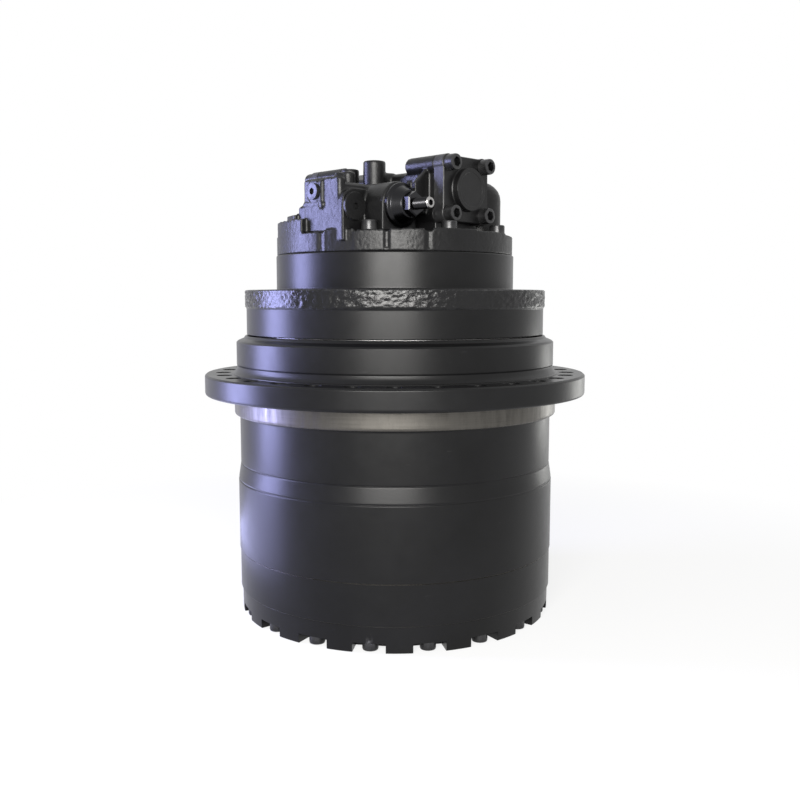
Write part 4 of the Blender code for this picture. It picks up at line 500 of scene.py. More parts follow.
class Finish(Nodes):
    """A material under construction."""

    def __init__(self, name):
        self.material = bpy.data.materials.new(name)
        self.material.use_nodes = True
        super().__init__(self.material.node_tree)
        self.shader = self.tree.nodes["Principled BSDF"]

    def surface(self, **values):
        """Feed the shader's inputs, named in small letters."""
        for key, value in values.items():
            name = key.replace("_", " ").title().replace("Ior", "IOR")
            self.feed(self.shader.inputs[name], value)

    def place(self):
        """Coordinates fixed to the piece."""
        return self.node("ShaderNodeTexCoord", output="Object")

    def noise(self, scale, detail=3.0, roughness=0.5, vector=None, stretch=None):
        vector = vector or self.place()
        if stretch:
            vector = self.node("ShaderNodeMapping", inputs={"Vector": vector, "Scale": stretch})
        inputs = {"Vector": vector, "Scale": scale, "Detail": detail, "Roughness": roughness}
        return self.node("ShaderNodeTexNoise", inputs=inputs)

    def cells(self, scale):
        return self.node("ShaderNodeTexVoronoi", inputs={"Vector": self.place(), "Scale": scale})

    def ramp(self, value, *stops):
        return self.node("ShaderNodeValToRGB", {"stops": stops}, {"Fac": value})

    def mix(self, factor, first, second):
        settings = {"data_type": "RGBA"}
        return self.node("ShaderNodeMix", settings, {"Factor": factor, 6: first, 7: second}, output=2)

    def edges(self, low, high):
        """Mask of the outward edges."""
        pointiness = self.node("ShaderNodeNewGeometry", output="Pointiness")
        return self.ramp(pointiness, (low, 0.0), (high, 1.0))

    def axes(self):
        """The three coordinates, each by itself."""
        inputs = {"Vector": self.place()}
        return [self.node("ShaderNodeSeparateXYZ", inputs=inputs, output=axis) for axis in "XYZ"]

    def round_place(self, spin=1.0, rise=1.0):
        """Coordinates that run round the axis and up, for marks left by turning."""
        x, y, z = self.axes()
        angle = self.node("ShaderNodeMath", {"operation": "ARCTAN2"}, {0: y, 1: x})
        return self.node("ShaderNodeCombineXYZ", inputs={"X": angle * spin, "Y": z * rise, "Z": 0.0})

    def bump(self, height, distance, strength):
        inputs = {"Height": height, "Distance": distance, "Strength": strength}
        return self.node("ShaderNodeBump", inputs=inputs)


def scaled(colour_value, factor):
    """The colour made darker or lighter."""
    return tuple(min(1.0, channel * factor) for channel in colour_value)


def casing_paint():
    """Satin paint over turned metal: cloudy colour, fine orange peel, worn edges and a few scuffs."""
    s = bpy.context.scene.drive_finishes
    finish = Finish("casing_paint")
    cloud = finish.ramp(finish.noise(9.0, 4.0, 0.6), (0.35, 0.0), (0.65, 1.0))
    tint = finish.mix(cloud, scaled(s.paint, 0.75), scaled(s.paint, 1.3))
    scuff = finish.ramp(finish.noise(26.0, 5.0, 0.7, stretch=(1.0, 1.0, 9.0)), (0.70, 0.0), (0.76, 1.0))
    scratch = finish.noise(1.0, 2.0, 0.5, vector=finish.round_place(9.0, 260.0))
    scratch = finish.ramp(scratch, (0.74, 0.0), (0.78, 1.0))
    edge_breakup = finish.ramp(finish.noise(160.0, 3.0, 0.6), (0.45, 0.0), (0.6, 1.0))
    edge = finish.edges(0.57, 0.68) * edge_breakup * 0.4
    mark = (scuff * 0.3).most(scratch * 0.4)
    tint = finish.mix(mark, tint, scaled(s.paint, 5.0))
    tint = finish.mix(edge, tint, (0.13, 0.13, 0.135))
    finish.surface(base_color=tint, specular_ior_level=0.20)
    level = finish.noise(60.0, 3.0, 0.6) * 0.10 + (s.paint_roughness - 0.05)
    finish.surface(roughness=level + mark * 0.2 - edge * 0.1)
    peel = finish.noise(420.0, 4.0, 0.55)
    finish.surface(normal=finish.bump(peel, 0.00007, 0.55))
    return finish.material


def cast_skin(name="cast_skin", gloss=0.24, grain=0.0003, shine=0.0, lump_size=110.0):
    """Paint over a rough casting: sand grain, pits, lumps and glossy runs."""
    s = bpy.context.scene.drive_finishes
    finish = Finish(name)
    cloud = finish.ramp(finish.noise(14.0, 5.0, 0.65), (0.35, 0.0), (0.65, 1.0))
    tint = finish.mix(cloud, scaled(s.cast, 0.7), scaled(s.cast, 1.5))
    # Outward edges are lighter: partly worn paint, partly a painted highlight along the cast edges and rims.
    edge_breakup = finish.ramp(finish.noise(90.0, 4.0, 0.7), (0.52, 0.0), (0.62, 1.0))
    edge = finish.edges(0.535, 0.62) * (edge_breakup * 0.5 + 0.5)
    tint = finish.mix(edge * 0.6, tint, (0.10, 0.10, 0.104))
    finish.surface(base_color=tint, specular_ior_level=gloss)
    finish.surface(roughness=finish.noise(70.0, 4.0, 0.7) * 0.3 + (s.cast_roughness - 0.17 - shine))
    lumps = finish.noise(lump_size, 5.0, 0.62)
    pits = finish.ramp(finish.cells(330.0), (0.0, 0.0), (0.35, 1.0))
    sand = lumps + pits * 0.25
    finish.surface(normal=finish.bump(sand, grain, 0.9))
    return finish.material


def bare_steel():
    """Machined band, streaked round by the tool and stained by handling."""
    s = bpy.context.scene.drive_finishes
    finish = Finish("bare_steel")
    streak = finish.noise(1.0, 4.0, 0.65, vector=finish.round_place(2.4, 900.0))
    drips = finish.noise(1.0, 5.0, 0.6, vector=finish.round_place(26.0, 18.0))
    stain = finish.ramp(drips, (0.40, 0.0), (0.66, 1.0))
    tint = finish.mix(stain * 0.55, s.steel, scaled(s.steel, 0.42))
    tint = finish.mix(finish.ramp(streak, (0.35, 0.0), (0.7, 0.5)), tint, scaled(s.steel, 1.25))
    finish.surface(base_color=tint, metallic=1.0)
    finish.surface(roughness=streak * 0.16 + stain * 0.14 + 0.24)
    finish.surface(normal=finish.bump(streak, 0.00005, 0.7))
    return finish.material


def worked_steel(name, base, roughness, stretch, grain=0.00006, oil=0.5):
    """Ground or cut steel with tool marks, patches of darker oil film and lighter outward edges."""
    finish = Finish(name)
    marks = finish.noise(220.0, 3.0, 0.6, stretch=stretch)
    film = finish.ramp(finish.noise(16.0, 4.0, 0.6), (0.38, 0.0), (0.62, 1.0))
    tint = finish.mix(film * oil, base, scaled(base, 0.62))
    edge = finish.edges(0.52, 0.60)
    tint = finish.mix(edge * 0.6, tint, scaled(base, 1.5))
    finish.surface(base_color=tint, metallic=1.0)
    finish.surface(roughness=marks * 0.14 + film * 0.08 + (roughness - 0.08))
    finish.surface(normal=finish.bump(marks, grain, 0.7))
    return finish.material


def black_screws():
    """Black oxide with lighter edges: rubbed oxide, and in part a painted highlight on the head rims."""
    s = bpy.context.scene.drive_finishes
    finish = Finish("black_oxide")
    patch = finish.ramp(finish.noise(120.0, 4.0, 0.6), (0.4, 0.0), (0.65, 1.0))
    tint = finish.mix(patch, s.oxide, scaled(s.oxide, 1.8))
    # Lighter edges stand partly for rubbed oxide and partly for a painted highlight on the head rims.
    rub_and_rim_highlight = finish.edges(0.51, 0.57)
    tint = finish.mix(rub_and_rim_highlight * 0.3, tint, (0.12, 0.12, 0.123))
    finish.surface(base_color=tint, metallic=0.55, specular_ior_level=0.5)
    finish.surface(roughness=patch * 0.14 + 0.27)
    finish.surface(normal=finish.bump(finish.noise(900.0), 0.00004, 0.5))
    return finish.material


def rubber():
    """Black rubber with a pale bloom."""
    s = bpy.context.scene.drive_finishes
    finish = Finish("seal_rubber")
    bloom = finish.ramp(finish.noise(60.0, 4.0, 0.6), (0.45, 0.0), (0.7, 1.0))
    tint = finish.mix(bloom * 0.6, s.rubber, scaled(s.rubber, 3.0))
    finish.surface(base_color=tint, specular_ior_level=0.35)
    finish.surface(roughness=bloom * 0.15 + 0.62)
    finish.surface(normal=finish.bump(finish.noise(1500.0), 0.00005, 0.5))
    return finish.material


def lining():
    """Fibrous paper lining."""
    s = bpy.context.scene.drive_finishes
    finish = Finish("friction_lining")
    fibre = finish.noise(800.0, 5.0, 0.7)
    finish.surface(base_color=finish.mix(fibre, scaled(s.lining, 0.6), scaled(s.lining, 1.5)))
    finish.surface(roughness=fibre * 0.2 + 0.7)
    finish.surface(normal=finish.bump(fibre, 0.0002, 0.8))
    return finish.material


FINISHES = {}


def finish_named(name):
    """One material of each finish, made when it is first asked for."""
    s = bpy.context.scene.drive_finishes
    makers = {
        "paint": casing_paint,
        "cast": cast_skin,
        "glazed": lambda: cast_skin("glazed_cast_skin", 0.26, 0.0007, 0.17, 150.0),
        "blued": lambda: worked_steel("blued_steel", s.blued, 0.24, (1.0, 1.0, 0.1), 0.00003, 0.4),
        "steel": bare_steel,
        "gear": lambda: worked_steel("gear_steel", s.gear, 0.34, (1.0, 1.0, 0.08)),
        "ground": lambda: worked_steel("ground_steel", s.gear, 0.22, (0.1, 0.1, 6.0), 0.00003, 0.3),
        "bronze": lambda: worked_steel("bronze", s.bronze, 0.34, (1.0, 1.0, 0.2)),
        "oxide": black_screws,
        "rubber": rubber,
        "lining": lining,
    }
    if name not in FINISHES:
        FINISHES[name] = makers[name]()
    return FINISHES[name]


# Turned casings


DISH_DEPTH = 0.006  # of the cover's middle below its rim
COVER_FLOOR = 0.020  # inner face of the cover
SPIGOT_TOP = 0.0415  # end of the spigot that centres the cover in the ring gear
NOTCH = (0.198, 0.250, 0.02175, 0.013)  # inner and outer radius, half width, height


def cover_profile(s):
    """Dished face, rim and outer wall of the cover."""
    edge = 0.0015
    return rounded(
        [
            (0.168, DISH_DEPTH),
            (0.188, DISH_DEPTH, edge),
            (0.194, 0.0, edge),
            (s.cover_radius - 0.0005, 0.0, edge),
            (s.cover_radius, s.cover_top - 0.0006),
            (s.cover_radius - 0.0006, s.cover_top),
        ]
    )


def notch_places(s):
    """Places of the cover's screws, each in its own notch."""
    return around(s.cover_count, s.cover_circle, math.radians(-98.6))


class DRIVE_OT_cover(bpy.types.Operator):
    """End cover with its cut rim, its socket screws and its two plugs"""

    bl_idname = "drive.cover"
    bl_label = "End cover"

    def execute(self, context):
        s = context.scene.drive_casings
        screws = context.scene.drive_screws
        plugs = around(2, 0.120, 0.0)
        form = Form()
        foot, rim = form.turn(cover_profile(s))
        spigot = [
            (0.1749, s.cover_top), (0.1749, SPIGOT_TOP, 0.001),
            (0.168, SPIGOT_TOP, 0.001), (0.168, COVER_FLOOR),
        ]
        step, floor = form.turn(rounded(spigot))
        mouths = [form.pocket(0.0143, DISH_DEPTH, 0.0173, place) for place in plugs]
        form.cap(foot, *mouths)
        form.cap(rim, step)
        form.cap(floor)
        cover = form.finish("end_cover", "hub", finish_named("paint"), finish_named("steel"))
        inner, outer, half_width, height = NOTCH
        corners = ((inner, -half_width), (outer, -half_width), (outer, half_width), (inner, half_width))
        notches = Form()
        for x, y in notch_places(screws):
            turn = Matrix.Rotation(math.atan2(y, x), 3, "Z")
            outline = [(turn @ Vector((*corner, 0.0)))[:2] for corner in corners]
            notches.prism(outline, -0.010, height)
        cut_away(cover, notches)
        keep_flat(cover, 32)
        soften(cover, 0.0007, 40)
        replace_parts(cover, "cover")
        heads = Form()
        foot, top = height + 0.0005, 0.0012
        for number, place in enumerate(notch_places(screws)):
            heads.socket_head(place, foot, top, screws.head_radius, screws.socket_radius, number * 0.7)
        heads.finish("cover_screws", "hub", finish_named("oxide"), sharp=40)
        for name, place in zip(("drain_plug", "level_plug"), plugs):
            plug = Form()
            plug.socket_head(place, 0.0168, 0.0062, 0.0138, 0.0075)
            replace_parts(plug.finish(f"cover_{name}", "hub", finish_named("oxide"), sharp=40), name)
        return {"FINISHED"}


MODULE = 0.006
PRESSURE_ANGLE = math.radians(20)
RING_TEETH = 60
BARREL_RADIUS = 0.200  # of the ring gear above its flange
JOINT_LINE = 0.0007  # bevel that shows as a light line at a joint


def involute(angle):
    """Angle that an involute has turned through where its pressure angle is this."""
    return math.tan(angle) - angle


def tooth_outline(teeth, tip_radius, root_radius, thinning, flank_points=6):
    """Outline of spur teeth, with the first one on the X axis."""
    pitch_radius = MODULE * teeth / 2
    base_radius = pitch_radius * math.cos(PRESSURE_ANGLE)
    half_tooth = math.pi / (2 * teeth) + involute(PRESSURE_ANGLE) - thinning / pitch_radius
    flank = []
    for i in range(flank_points):
        radius = root_radius + i * (tip_radius - root_radius) / (flank_points - 1)
        flank.append((radius, half_tooth - involute(math.acos(min(1.0, base_radius / radius)))))
    points = []
    for tooth in range(teeth):
        middle = 2 * math.pi * tooth / teeth
        points += [polar(radius, middle - half) for radius, half in flank]
        points += [polar(radius, middle + half) for radius, half in reversed(flank)]
    return points


class DRIVE_OT_ring_gear(bpy.types.Operator):
    """Ring gear with its inner teeth and its bolting flange"""

    bl_idname = "drive.ring_gear"
    bl_label = "Ring gear"

    def execute(self, context):
        s = context.scene.drive_casings
        low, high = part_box("ring_gear")
        pitch = MODULE * RING_TEETH / 2
        outline = tooth_outline(RING_TEETH, pitch + 0.0063, pitch - 0.0048, -0.0002)
        form = Form()
        teeth_low = form.loop([(x, y, low.z) for x, y in outline])
        teeth_high = form.loop([(x, y, high.z) for x, y in outline])
        form.wall(teeth_low, teeth_high)
        rim = [
            (s.ring_radius - JOINT_LINE, low.z),
            (s.ring_radius, low.z + JOINT_LINE),
            (s.ring_radius, s.ring_top - JOINT_LINE),
            (s.ring_radius - JOINT_LINE, s.ring_top),
        ]
        rim_low, rim_high = form.turn(held(rim))
        barrel = [(BARREL_RADIUS, s.ring_top), (BARREL_RADIUS, high.z - 0.001), (BARREL_RADIUS - 0.001, high.z)]
        step, barrel_high = form.turn(barrel)
        form.cap(rim_low, teeth_low)
        form.cap(rim_high, step)
        form.cap(barrel_high, teeth_high)
        finishes = [finish_named(name) for name in ("gear", "paint", "steel")]
        gear = form.finish("toothed_ring", "hub", *finishes)

        def rule(radius, height, normal):
            if radius < s.ring_radius - 0.001:
                return 0
            on_edge = height < low.z + JOINT_LINE or height > s.ring_top - JOINT_LINE
            return 2 if on_edge else 1

        paint_faces(gear, rule)
        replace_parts(gear, "ring_gear")
        return {"FINISHED"}


class DRIVE_OT_drum(bpy.types.Operator):
    """Turning drum with the sprocket flange, the bare pilot band and the seal collar"""

    bl_idname = "drive.drum"
    bl_label = "Drum"

    def execute(self, context):
        s = context.scene.drive_casings
        screws = context.scene.drive_screws
        bottom, top = (corner.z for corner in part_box("drum"))
        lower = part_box("lower_outer_race")
        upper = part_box("upper_outer_race")
        barrel_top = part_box("ring_gear")[1].z
        form = Form()
        skirt, under_flange = form.turn(
            rounded(
                [
                    (s.skirt_radius - JOINT_LINE, bottom),
                    (s.skirt_radius, bottom + JOINT_LINE),
                    (s.skirt_radius, s.skirt_top - 0.002, 0.0015),
                    (s.skirt_radius - 0.0012, s.skirt_top - 0.001, 0.001),
                    (s.skirt_radius - 0.0004, s.skirt_top + 0.0008, 0.001),
                    (s.waist_radius, s.waist_bottom - 0.0012, 0.001),
                    (s.waist_radius - 0.0011, s.waist_bottom, 0.001),
                    (s.waist_radius, s.waist_bottom + 0.0012, 0.001),
                    (s.waist_radius, s.pilot_bottom, 0.002),
                    (s.pilot_radius, s.pilot_bottom + 0.0005, 0.004),
                    (s.pilot_radius, s.flange_bottom - 0.0025, 0.0005),
                    (s.pilot_radius - 0.0012, s.flange_bottom - 0.0012, 0.0006),
                    (s.pilot_radius, s.flange_bottom),
                ]
            )
        )
        edge_low, edge_high = form.turn(
            rounded(
                [
                    (s.flange_radius - 0.009, s.flange_bottom),
                    (s.flange_radius, s.flange_bottom + 0.0005, 0.0075),
                    (s.flange_radius, s.flange_top - 0.0022, 0.001),
                    (s.flange_radius - 0.0025, s.flange_top),
                ],
                8,
            )
        )
        step_outer, collar_end = form.turn(
            rounded(
                [
                    (0.2354, s.flange_top),
                    (0.2350, s.flange_top + 0.0010, 0.0005),
                    (0.2336, s.flange_top + 0.0014, 0.0005),
                    (0.2300, s.flange_top + 0.0060, 0.004),
                    (s.collar_radius - 0.0006, s.collar_bottom - 0.002, 0.002),
                    (s.collar_radius, s.collar_bottom, 0.0008),
                    (s.collar_radius, s.collar_top - 0.0022, 0.0005),
                    (s.collar_radius - 0.0006, s.collar_top - 0.0018, 0.0003),
                    (s.collar_radius - 0.0022, s.collar_top, 0.0012),
                    (s.collar_radius - 0.0105, s.collar_top + 0.0035, 0.0015),
                    (0.2172, top - 0.0012, 0.0005),
                    (0.2160, top),
                ]
            )
        )
        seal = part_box("drum_seal_ring")[1].z + SEAL_GAP
        race_seat, shoulder, barrel_seat = 0.190, 0.178, BARREL_RADIUS + GAP
        mouth, bore = form.turn(
            [
                (0.208, top), (0.208, seal),
                (SEAL_POCKET, seal), (SEAL_POCKET, seal - SEAL_ROOM),
                (race_seat, seal - SEAL_ROOM), (race_seat, upper[0].z - GAP),
                (shoulder, upper[0].z - GAP), (shoulder, lower[1].z + GAP),
                (race_seat, lower[1].z + GAP), (race_seat, barrel_top + 0.0012),
                (barrel_seat, barrel_top + 0.0012), (barrel_seat, bottom),
            ]
        )
        holes = [
            form.hole(screws.sprocket_radius, s.flange_bottom, s.flange_top, place)
            for place in around(screws.sprocket_count, screws.sprocket_circle, math.radians(-90))
        ]
        form.cap(edge_low, under_flange, *(low for low, high in holes))
        form.cap(edge_high, step_outer, *(high for low, high in holes))
        form.cap(collar_end, mouth)
        form.cap(skirt, bore)
        finishes = [finish_named(name) for name in ("paint", "steel")]
        drum = form.finish("drum_casing", "hub", *finishes)

        def rule(radius, height, normal):
            inside = radius < 0.21
            on_band = s.pilot_bottom + 0.0003 < height < s.flange_bottom - 0.0002
            on_pilot = on_band and radius > s.waist_radius + 0.002
            on_joint = height < bottom + JOINT_LINE and radius > s.skirt_radius - 2 * JOINT_LINE
            return 1 if inside or on_pilot or on_joint else 0

        paint_faces(drum, rule)
        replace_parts(drum, "drum")
        return {"FINISHED"}


def roughen(piece, size, height, where):
    """Push the points that pass the test in and out by a few tenths, like sand marks."""
    for vert in piece.data.vertices:
        push = where(vert.co)
        if push:
            lump = noise.fractal(vert.co / size, 0.7, 2.0, 4)
            vert.co += Vector((vert.co.x, vert.co.y, 0.0)).normalized() * lump * height * push
    piece.data.update()


class DRIVE_OT_spindle(bpy.types.Operator):
    """Fixed spindle with its neck, its rough frame flange and the motor case"""

    bl_idname = "drive.spindle"
    bl_label = "Spindle"

    def execute(self, context):
        s = context.scene.drive_casings
        screws = context.scene.drive_screws
        low, high = (corner.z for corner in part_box("spindle"))
        nut_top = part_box("bearing_nut")[1].z
        upper_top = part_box("upper_outer_race")[1].z
        seal_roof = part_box("spindle_seal_ring")[0].z - SEAL_GAP + SEAL_ROOM
        neck_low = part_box("drum")[1].z + 0.0012
        thread, race_seat, shoulder, skirt = 0.137, 0.140, 0.152, 0.2035
        form = Form()
        journal, spigot = form.turn(
            [
                (thread, low), (thread, nut_top),
                (race_seat, nut_top), (race_seat, upper_top + GAP),
                (shoulder, upper_top + GAP), (shoulder, seal_roof),
                (SEAL_POCKET, seal_roof), (SEAL_POCKET, neck_low - SEAL_ROOM),
                (skirt, neck_low - SEAL_ROOM), (skirt, neck_low),
            ],
            INNER,
        )
        neck = [
            (s.neck_radius - 0.001, neck_low),
            (s.neck_radius, neck_low + 0.001),
            (s.neck_radius, s.neck_top - 0.001, 0.0008),
            (s.frame_radius - 0.0006, s.neck_top + 0.0008, 0.001),
        ]
        steps = 14
        rim_low, rim_high = s.neck_top + 0.002, s.frame_top - 0.0018
        rim = [(s.frame_radius, rim_low + (rim_high - rim_low) * i / steps) for i in range(steps + 1)]
        face = [(s.frame_radius - 0.0012, s.frame_top - 0.0003), (s.frame_radius - 0.003, s.frame_top)]
        neck_loop, case_foot = form.turn(rounded(neck) + rim + face, 2 * ROUND)
        case_low, case_high = form.turn(
            rounded(
                [
                    (s.case_radius + 0.0012, s.frame_top),
                    (s.case_radius, s.frame_top + 0.0015, 0.001),
                    (s.case_radius, high - 0.0012, 0.0006),
                    (s.case_radius - 0.001, high),
                ]
            )
        )
        holes = [
            form.pocket(0.009, s.frame_top, s.frame_top - 0.022, place)
            for place in around(screws.frame_count, screws.frame_circle, 0.0)
        ]
        form.cap(spigot, neck_loop)
        form.cap(case_foot, case_low, *holes)
        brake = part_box("brake_steel_plate_1")[0].z - GAP
        bearing_low, bearing_top = (corner.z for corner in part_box("shaft_bearing_front"))
        room = bearing_top + 0.002
        brake_room, block_room = 0.1312, 0.100
        brake_mouth, room_floor = form.turn(
            [(brake_room, high), (brake_room, brake), (block_room, brake), (block_room, room)], INNER
        )
        form.cap(case_high, brake_mouth)
        seal_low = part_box("shaft_seal")[0].z
        bearing_seat, seal_seat, neck_bore, coupling_room = 0.0453, 0.0383, 0.0235, 0.062
        bearing_mouth, input_end = form.turn(
            [
                (bearing_seat, room), (bearing_seat, bearing_low - GAP),
                (seal_seat, bearing_low - GAP), (seal_seat, seal_low - GAP),
                (neck_bore, seal_low - GAP), (neck_bore, seal_low - 0.012),
                (coupling_room, seal_low - 0.012), (coupling_room, low),
            ],
            MEDIUM,
        )
        piston_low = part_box("speed_piston")[0].z - GAP
        piston_hole = form.pocket(0.0103, room, piston_low, (0.0, -0.062), 8, 0.0001)
        form.cap(room_floor, bearing_mouth, piston_hole)
        carrier_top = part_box("final_carrier")[1].z
        pin_centres, pin_bore = 0.114, 0.0173
        roots = []
        for place in around(4, pin_centres, math.pi / 4):
            bore = [(pin_bore, low), (pin_bore, carrier_top + GAP)]
            start, end = form.turn(bore, SMALL, math.pi / SMALL, place)
            form.cap(end)
            roots.append(start)
        form.cap(journal, input_end, *roots)
        finishes = [finish_named(name) for name in ("paint", "glazed", "ground")]
        spindle = form.finish("spindle_casing", "frame_side", *finishes)

        def rule(radius, height, normal):
            if height < neck_low - 0.001 or radius < s.case_radius - 0.003:
                return 2
            on_flange = s.neck_top < height < s.frame_top + 0.0001
            return 1 if on_flange and radius > s.case_radius + 0.002 else 0

        paint_faces(spindle, rule)

        def rough_band(point):
            radius = math.hypot(point.x, point.y)
            inside = s.neck_top + 0.0015 < point.z < s.frame_top - 0.0002
            return 1.0 if inside and radius > s.frame_radius - 0.002 else 0.0

        roughen(spindle, 0.004, 0.0009, rough_band)
        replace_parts(spindle, "spindle")
        ball_radius, ball_height, ball_spread, ball_rear = 0.010, 0.33709, 0.056, 0.020
        ball = [(0.0092, room)]
        for step in range(9):
            x, z = polar(ball_radius, -0.35 + 1.25 * step / 8)
            ball.append((x, ball_height + z))
        pivots = Form()
        for side in (-1, 1):
            pivots.bar(ball, 24, 0.0, (side * ball_spread, ball_rear))
        pivots.finish("swash_pivots", "frame_side", finish_named("ground"))
        return {"FINISHED"}


# Hydraulic block


def laid(place, turn=0.0):
    """Stand a piece modelled along +Z on a level axis of the block."""
    return BLOCK_AXES @ Matrix.Translation(Vector(place)) @ Matrix.Rotation(turn, 4, "Z") @ LEVEL


def slab(form, low, high, edge=0.004):
    """Block with broken upright and upper edges."""
    x0, y0, z0 = low
    x1, y1, z1 = high
    outlines = []
    for inset, z in ((0.0, z0), (0.0, z1 - edge), (edge, z1)):
        x_low, x_high, y_low, y_high = x0 + inset, x1 - inset, y0 + inset, y1 - inset
        outlines.append(
            [
                (x_low + edge, y_low, z), (x_high - edge, y_low, z),
                (x_high, y_low + edge, z), (x_high, y_high - edge, z),
                (x_high - edge, y_high, z), (x_low + edge, y_high, z),
                (x_low, y_high - edge, z), (x_low, y_low + edge, z),
            ]
        )
    form.loft(*outlines)


def upright(form, place, radius, low, high, edge=0.002, foot=0.0):
    """Round boss that stands on the block, flared at its foot."""
    profile = [
        (radius + foot, low), (radius, low + foot * 2 + 0.0001),
        (radius, high - edge), (radius - edge, high),
    ]
    form.bar(profile, 40, 0.0, place)


def lying(form, place, radius, reach, turn=0.0, edge=0.002, sides=48):
    """Round boss that runs level along the block's x axis, or turned from it."""
    matrix = Matrix.Translation(Vector(place)) @ Matrix.Rotation(turn, 4, "Z") @ LEVEL
    profile = [(radius, 0.0), (radius, reach - edge), (radius - edge, reach)]
    form.loft(*([matrix @ Vector(point) for point in circle(r, z, sides)] for r, z in profile))


def arch(form, low, high, crown, sides=12):
    """Upright slab from low to high corner, with its upper corners rounded by the crown radius."""
    (x0, y0, z0), (x1, y1, z1) = low, high
    outline = [(y1, z0)]
    for side, corner in ((1, y1 - crown), (-1, y0 + crown)):
        for step in range(sides + 1):
            lift = math.pi / 2 * (step / sides if side > 0 else 1 - step / sides)
            outline.append((corner + side * crown * math.cos(lift), z1 - crown + crown * math.sin(lift)))
    outline.append((y0, z0))
    form.loft([(x0, y, z) for y, z in outline], [(x1, y, z) for y, z in outline])


def web(form, corners, low, high, axis):
    """Flat rib over the corners, as thick as from low to high along the axis."""
    outlines = []
    for level in (low, high):
        points = [(level, across, up) if axis == "x" else (across, level, up) for across, up in corners]
        outlines.append(points)
    form.loft(*outlines)


def spool_housing(form, root):
    """Housing along the spool, high at its two ends, with a round ear over each cap screw."""
    high, waist = 0.634, 0.620
    stations = (
        (-HOUSING_HALF, high), (-0.090, high), (-0.076, 0.628), (-0.058, waist),
        (0.058, waist), (0.070, 0.626), (0.080, high), (HOUSING_HALF, high),
    )
    corner, half_width = 0.010, 0.0415
    sections = []
    for x, top in stations:
        arc = []
        for step in range(7):
            across, up = polar(corner, math.pi / 2 * step / 6)
            arc.append((half_width - corner + across, top - corner + up))
        mirrored = [(-y, z) for y, z in reversed(arc)]
        outline = [(half_width, root), *arc, *mirrored, (-half_width, root)]
        sections.append([(x, y, z) for y, z in outline])
    form.loft(*sections)
    for y in (-CAP_SCREW_SPREAD, CAP_SCREW_SPREAD):
        for z, start in ((SPOOL_HEIGHT + EAR_RISE, 0.066), (SPOOL_HEIGHT - CAP_SCREW_RISE, 0.084)):
            for turn in (0.0, math.pi):
                place = (start * math.cos(turn), y, z)
                lying(form, place, EAR_RADIUS, HOUSING_HALF - start, turn, 0.0006)


def flange_rim(form, low, seat):
    """Round flange whose cast rim is notched, lipped and raised in places."""
    outline = []
    sides = 360
    for step in range(sides):
        angle = 2 * math.pi * step / sides
        front = math.degrees(angle) + 90 + math.degrees(BLOCK_TURN)
        radius = 0.1694
        for notch, width, depth in ((-34.8, 1.6, 0.0022), (-3.6, 1.3, 0.0028), (14.9, 1.3, 0.0028)):
            off = (front - notch + 180) % 360 - 180
            if abs(off) < width:
                radius -= depth * (1 - (off / width) ** 2)
        if -33 < (front + 180) % 360 - 180 < -18 or 16 < (front + 180) % 360 - 180 < 150:
            radius -= 0.0006
        outline.append(polar(radius, angle))
    form.prism(outline, low + 0.0005, seat)
    start, end = form.turn([(0.1685, low), (0.1685, low + 0.003)], 160)
    form.cap(start)
    form.cap(end)
    lips = ((-33.0, -18.5, 0.0022), (-16.5, -5.5, 0.0014), (-2.0, 13.0, 0.0026), (17.0, 40.0, 0.0034), (40.0, 64.0, 0.002))
    for first, last, rise in lips:
        strip(form, first, last, 0.1690, 0.1610, seat - 0.004, seat + rise)


def strip(form, first, last, outer, inner, low, high):
    """Raised piece of the rim between two angles in degrees, counted from the viewer's side."""
    steps = max(2, int((last - first) / 3))
    turns = [math.radians(first + (last - first) * i / steps) - math.pi / 2 - BLOCK_TURN for i in range(steps + 1)]
    outline = [polar(outer, turn) for turn in turns] + [polar(inner, turn) for turn in reversed(turns)]
    form.prism(outline, low, high)


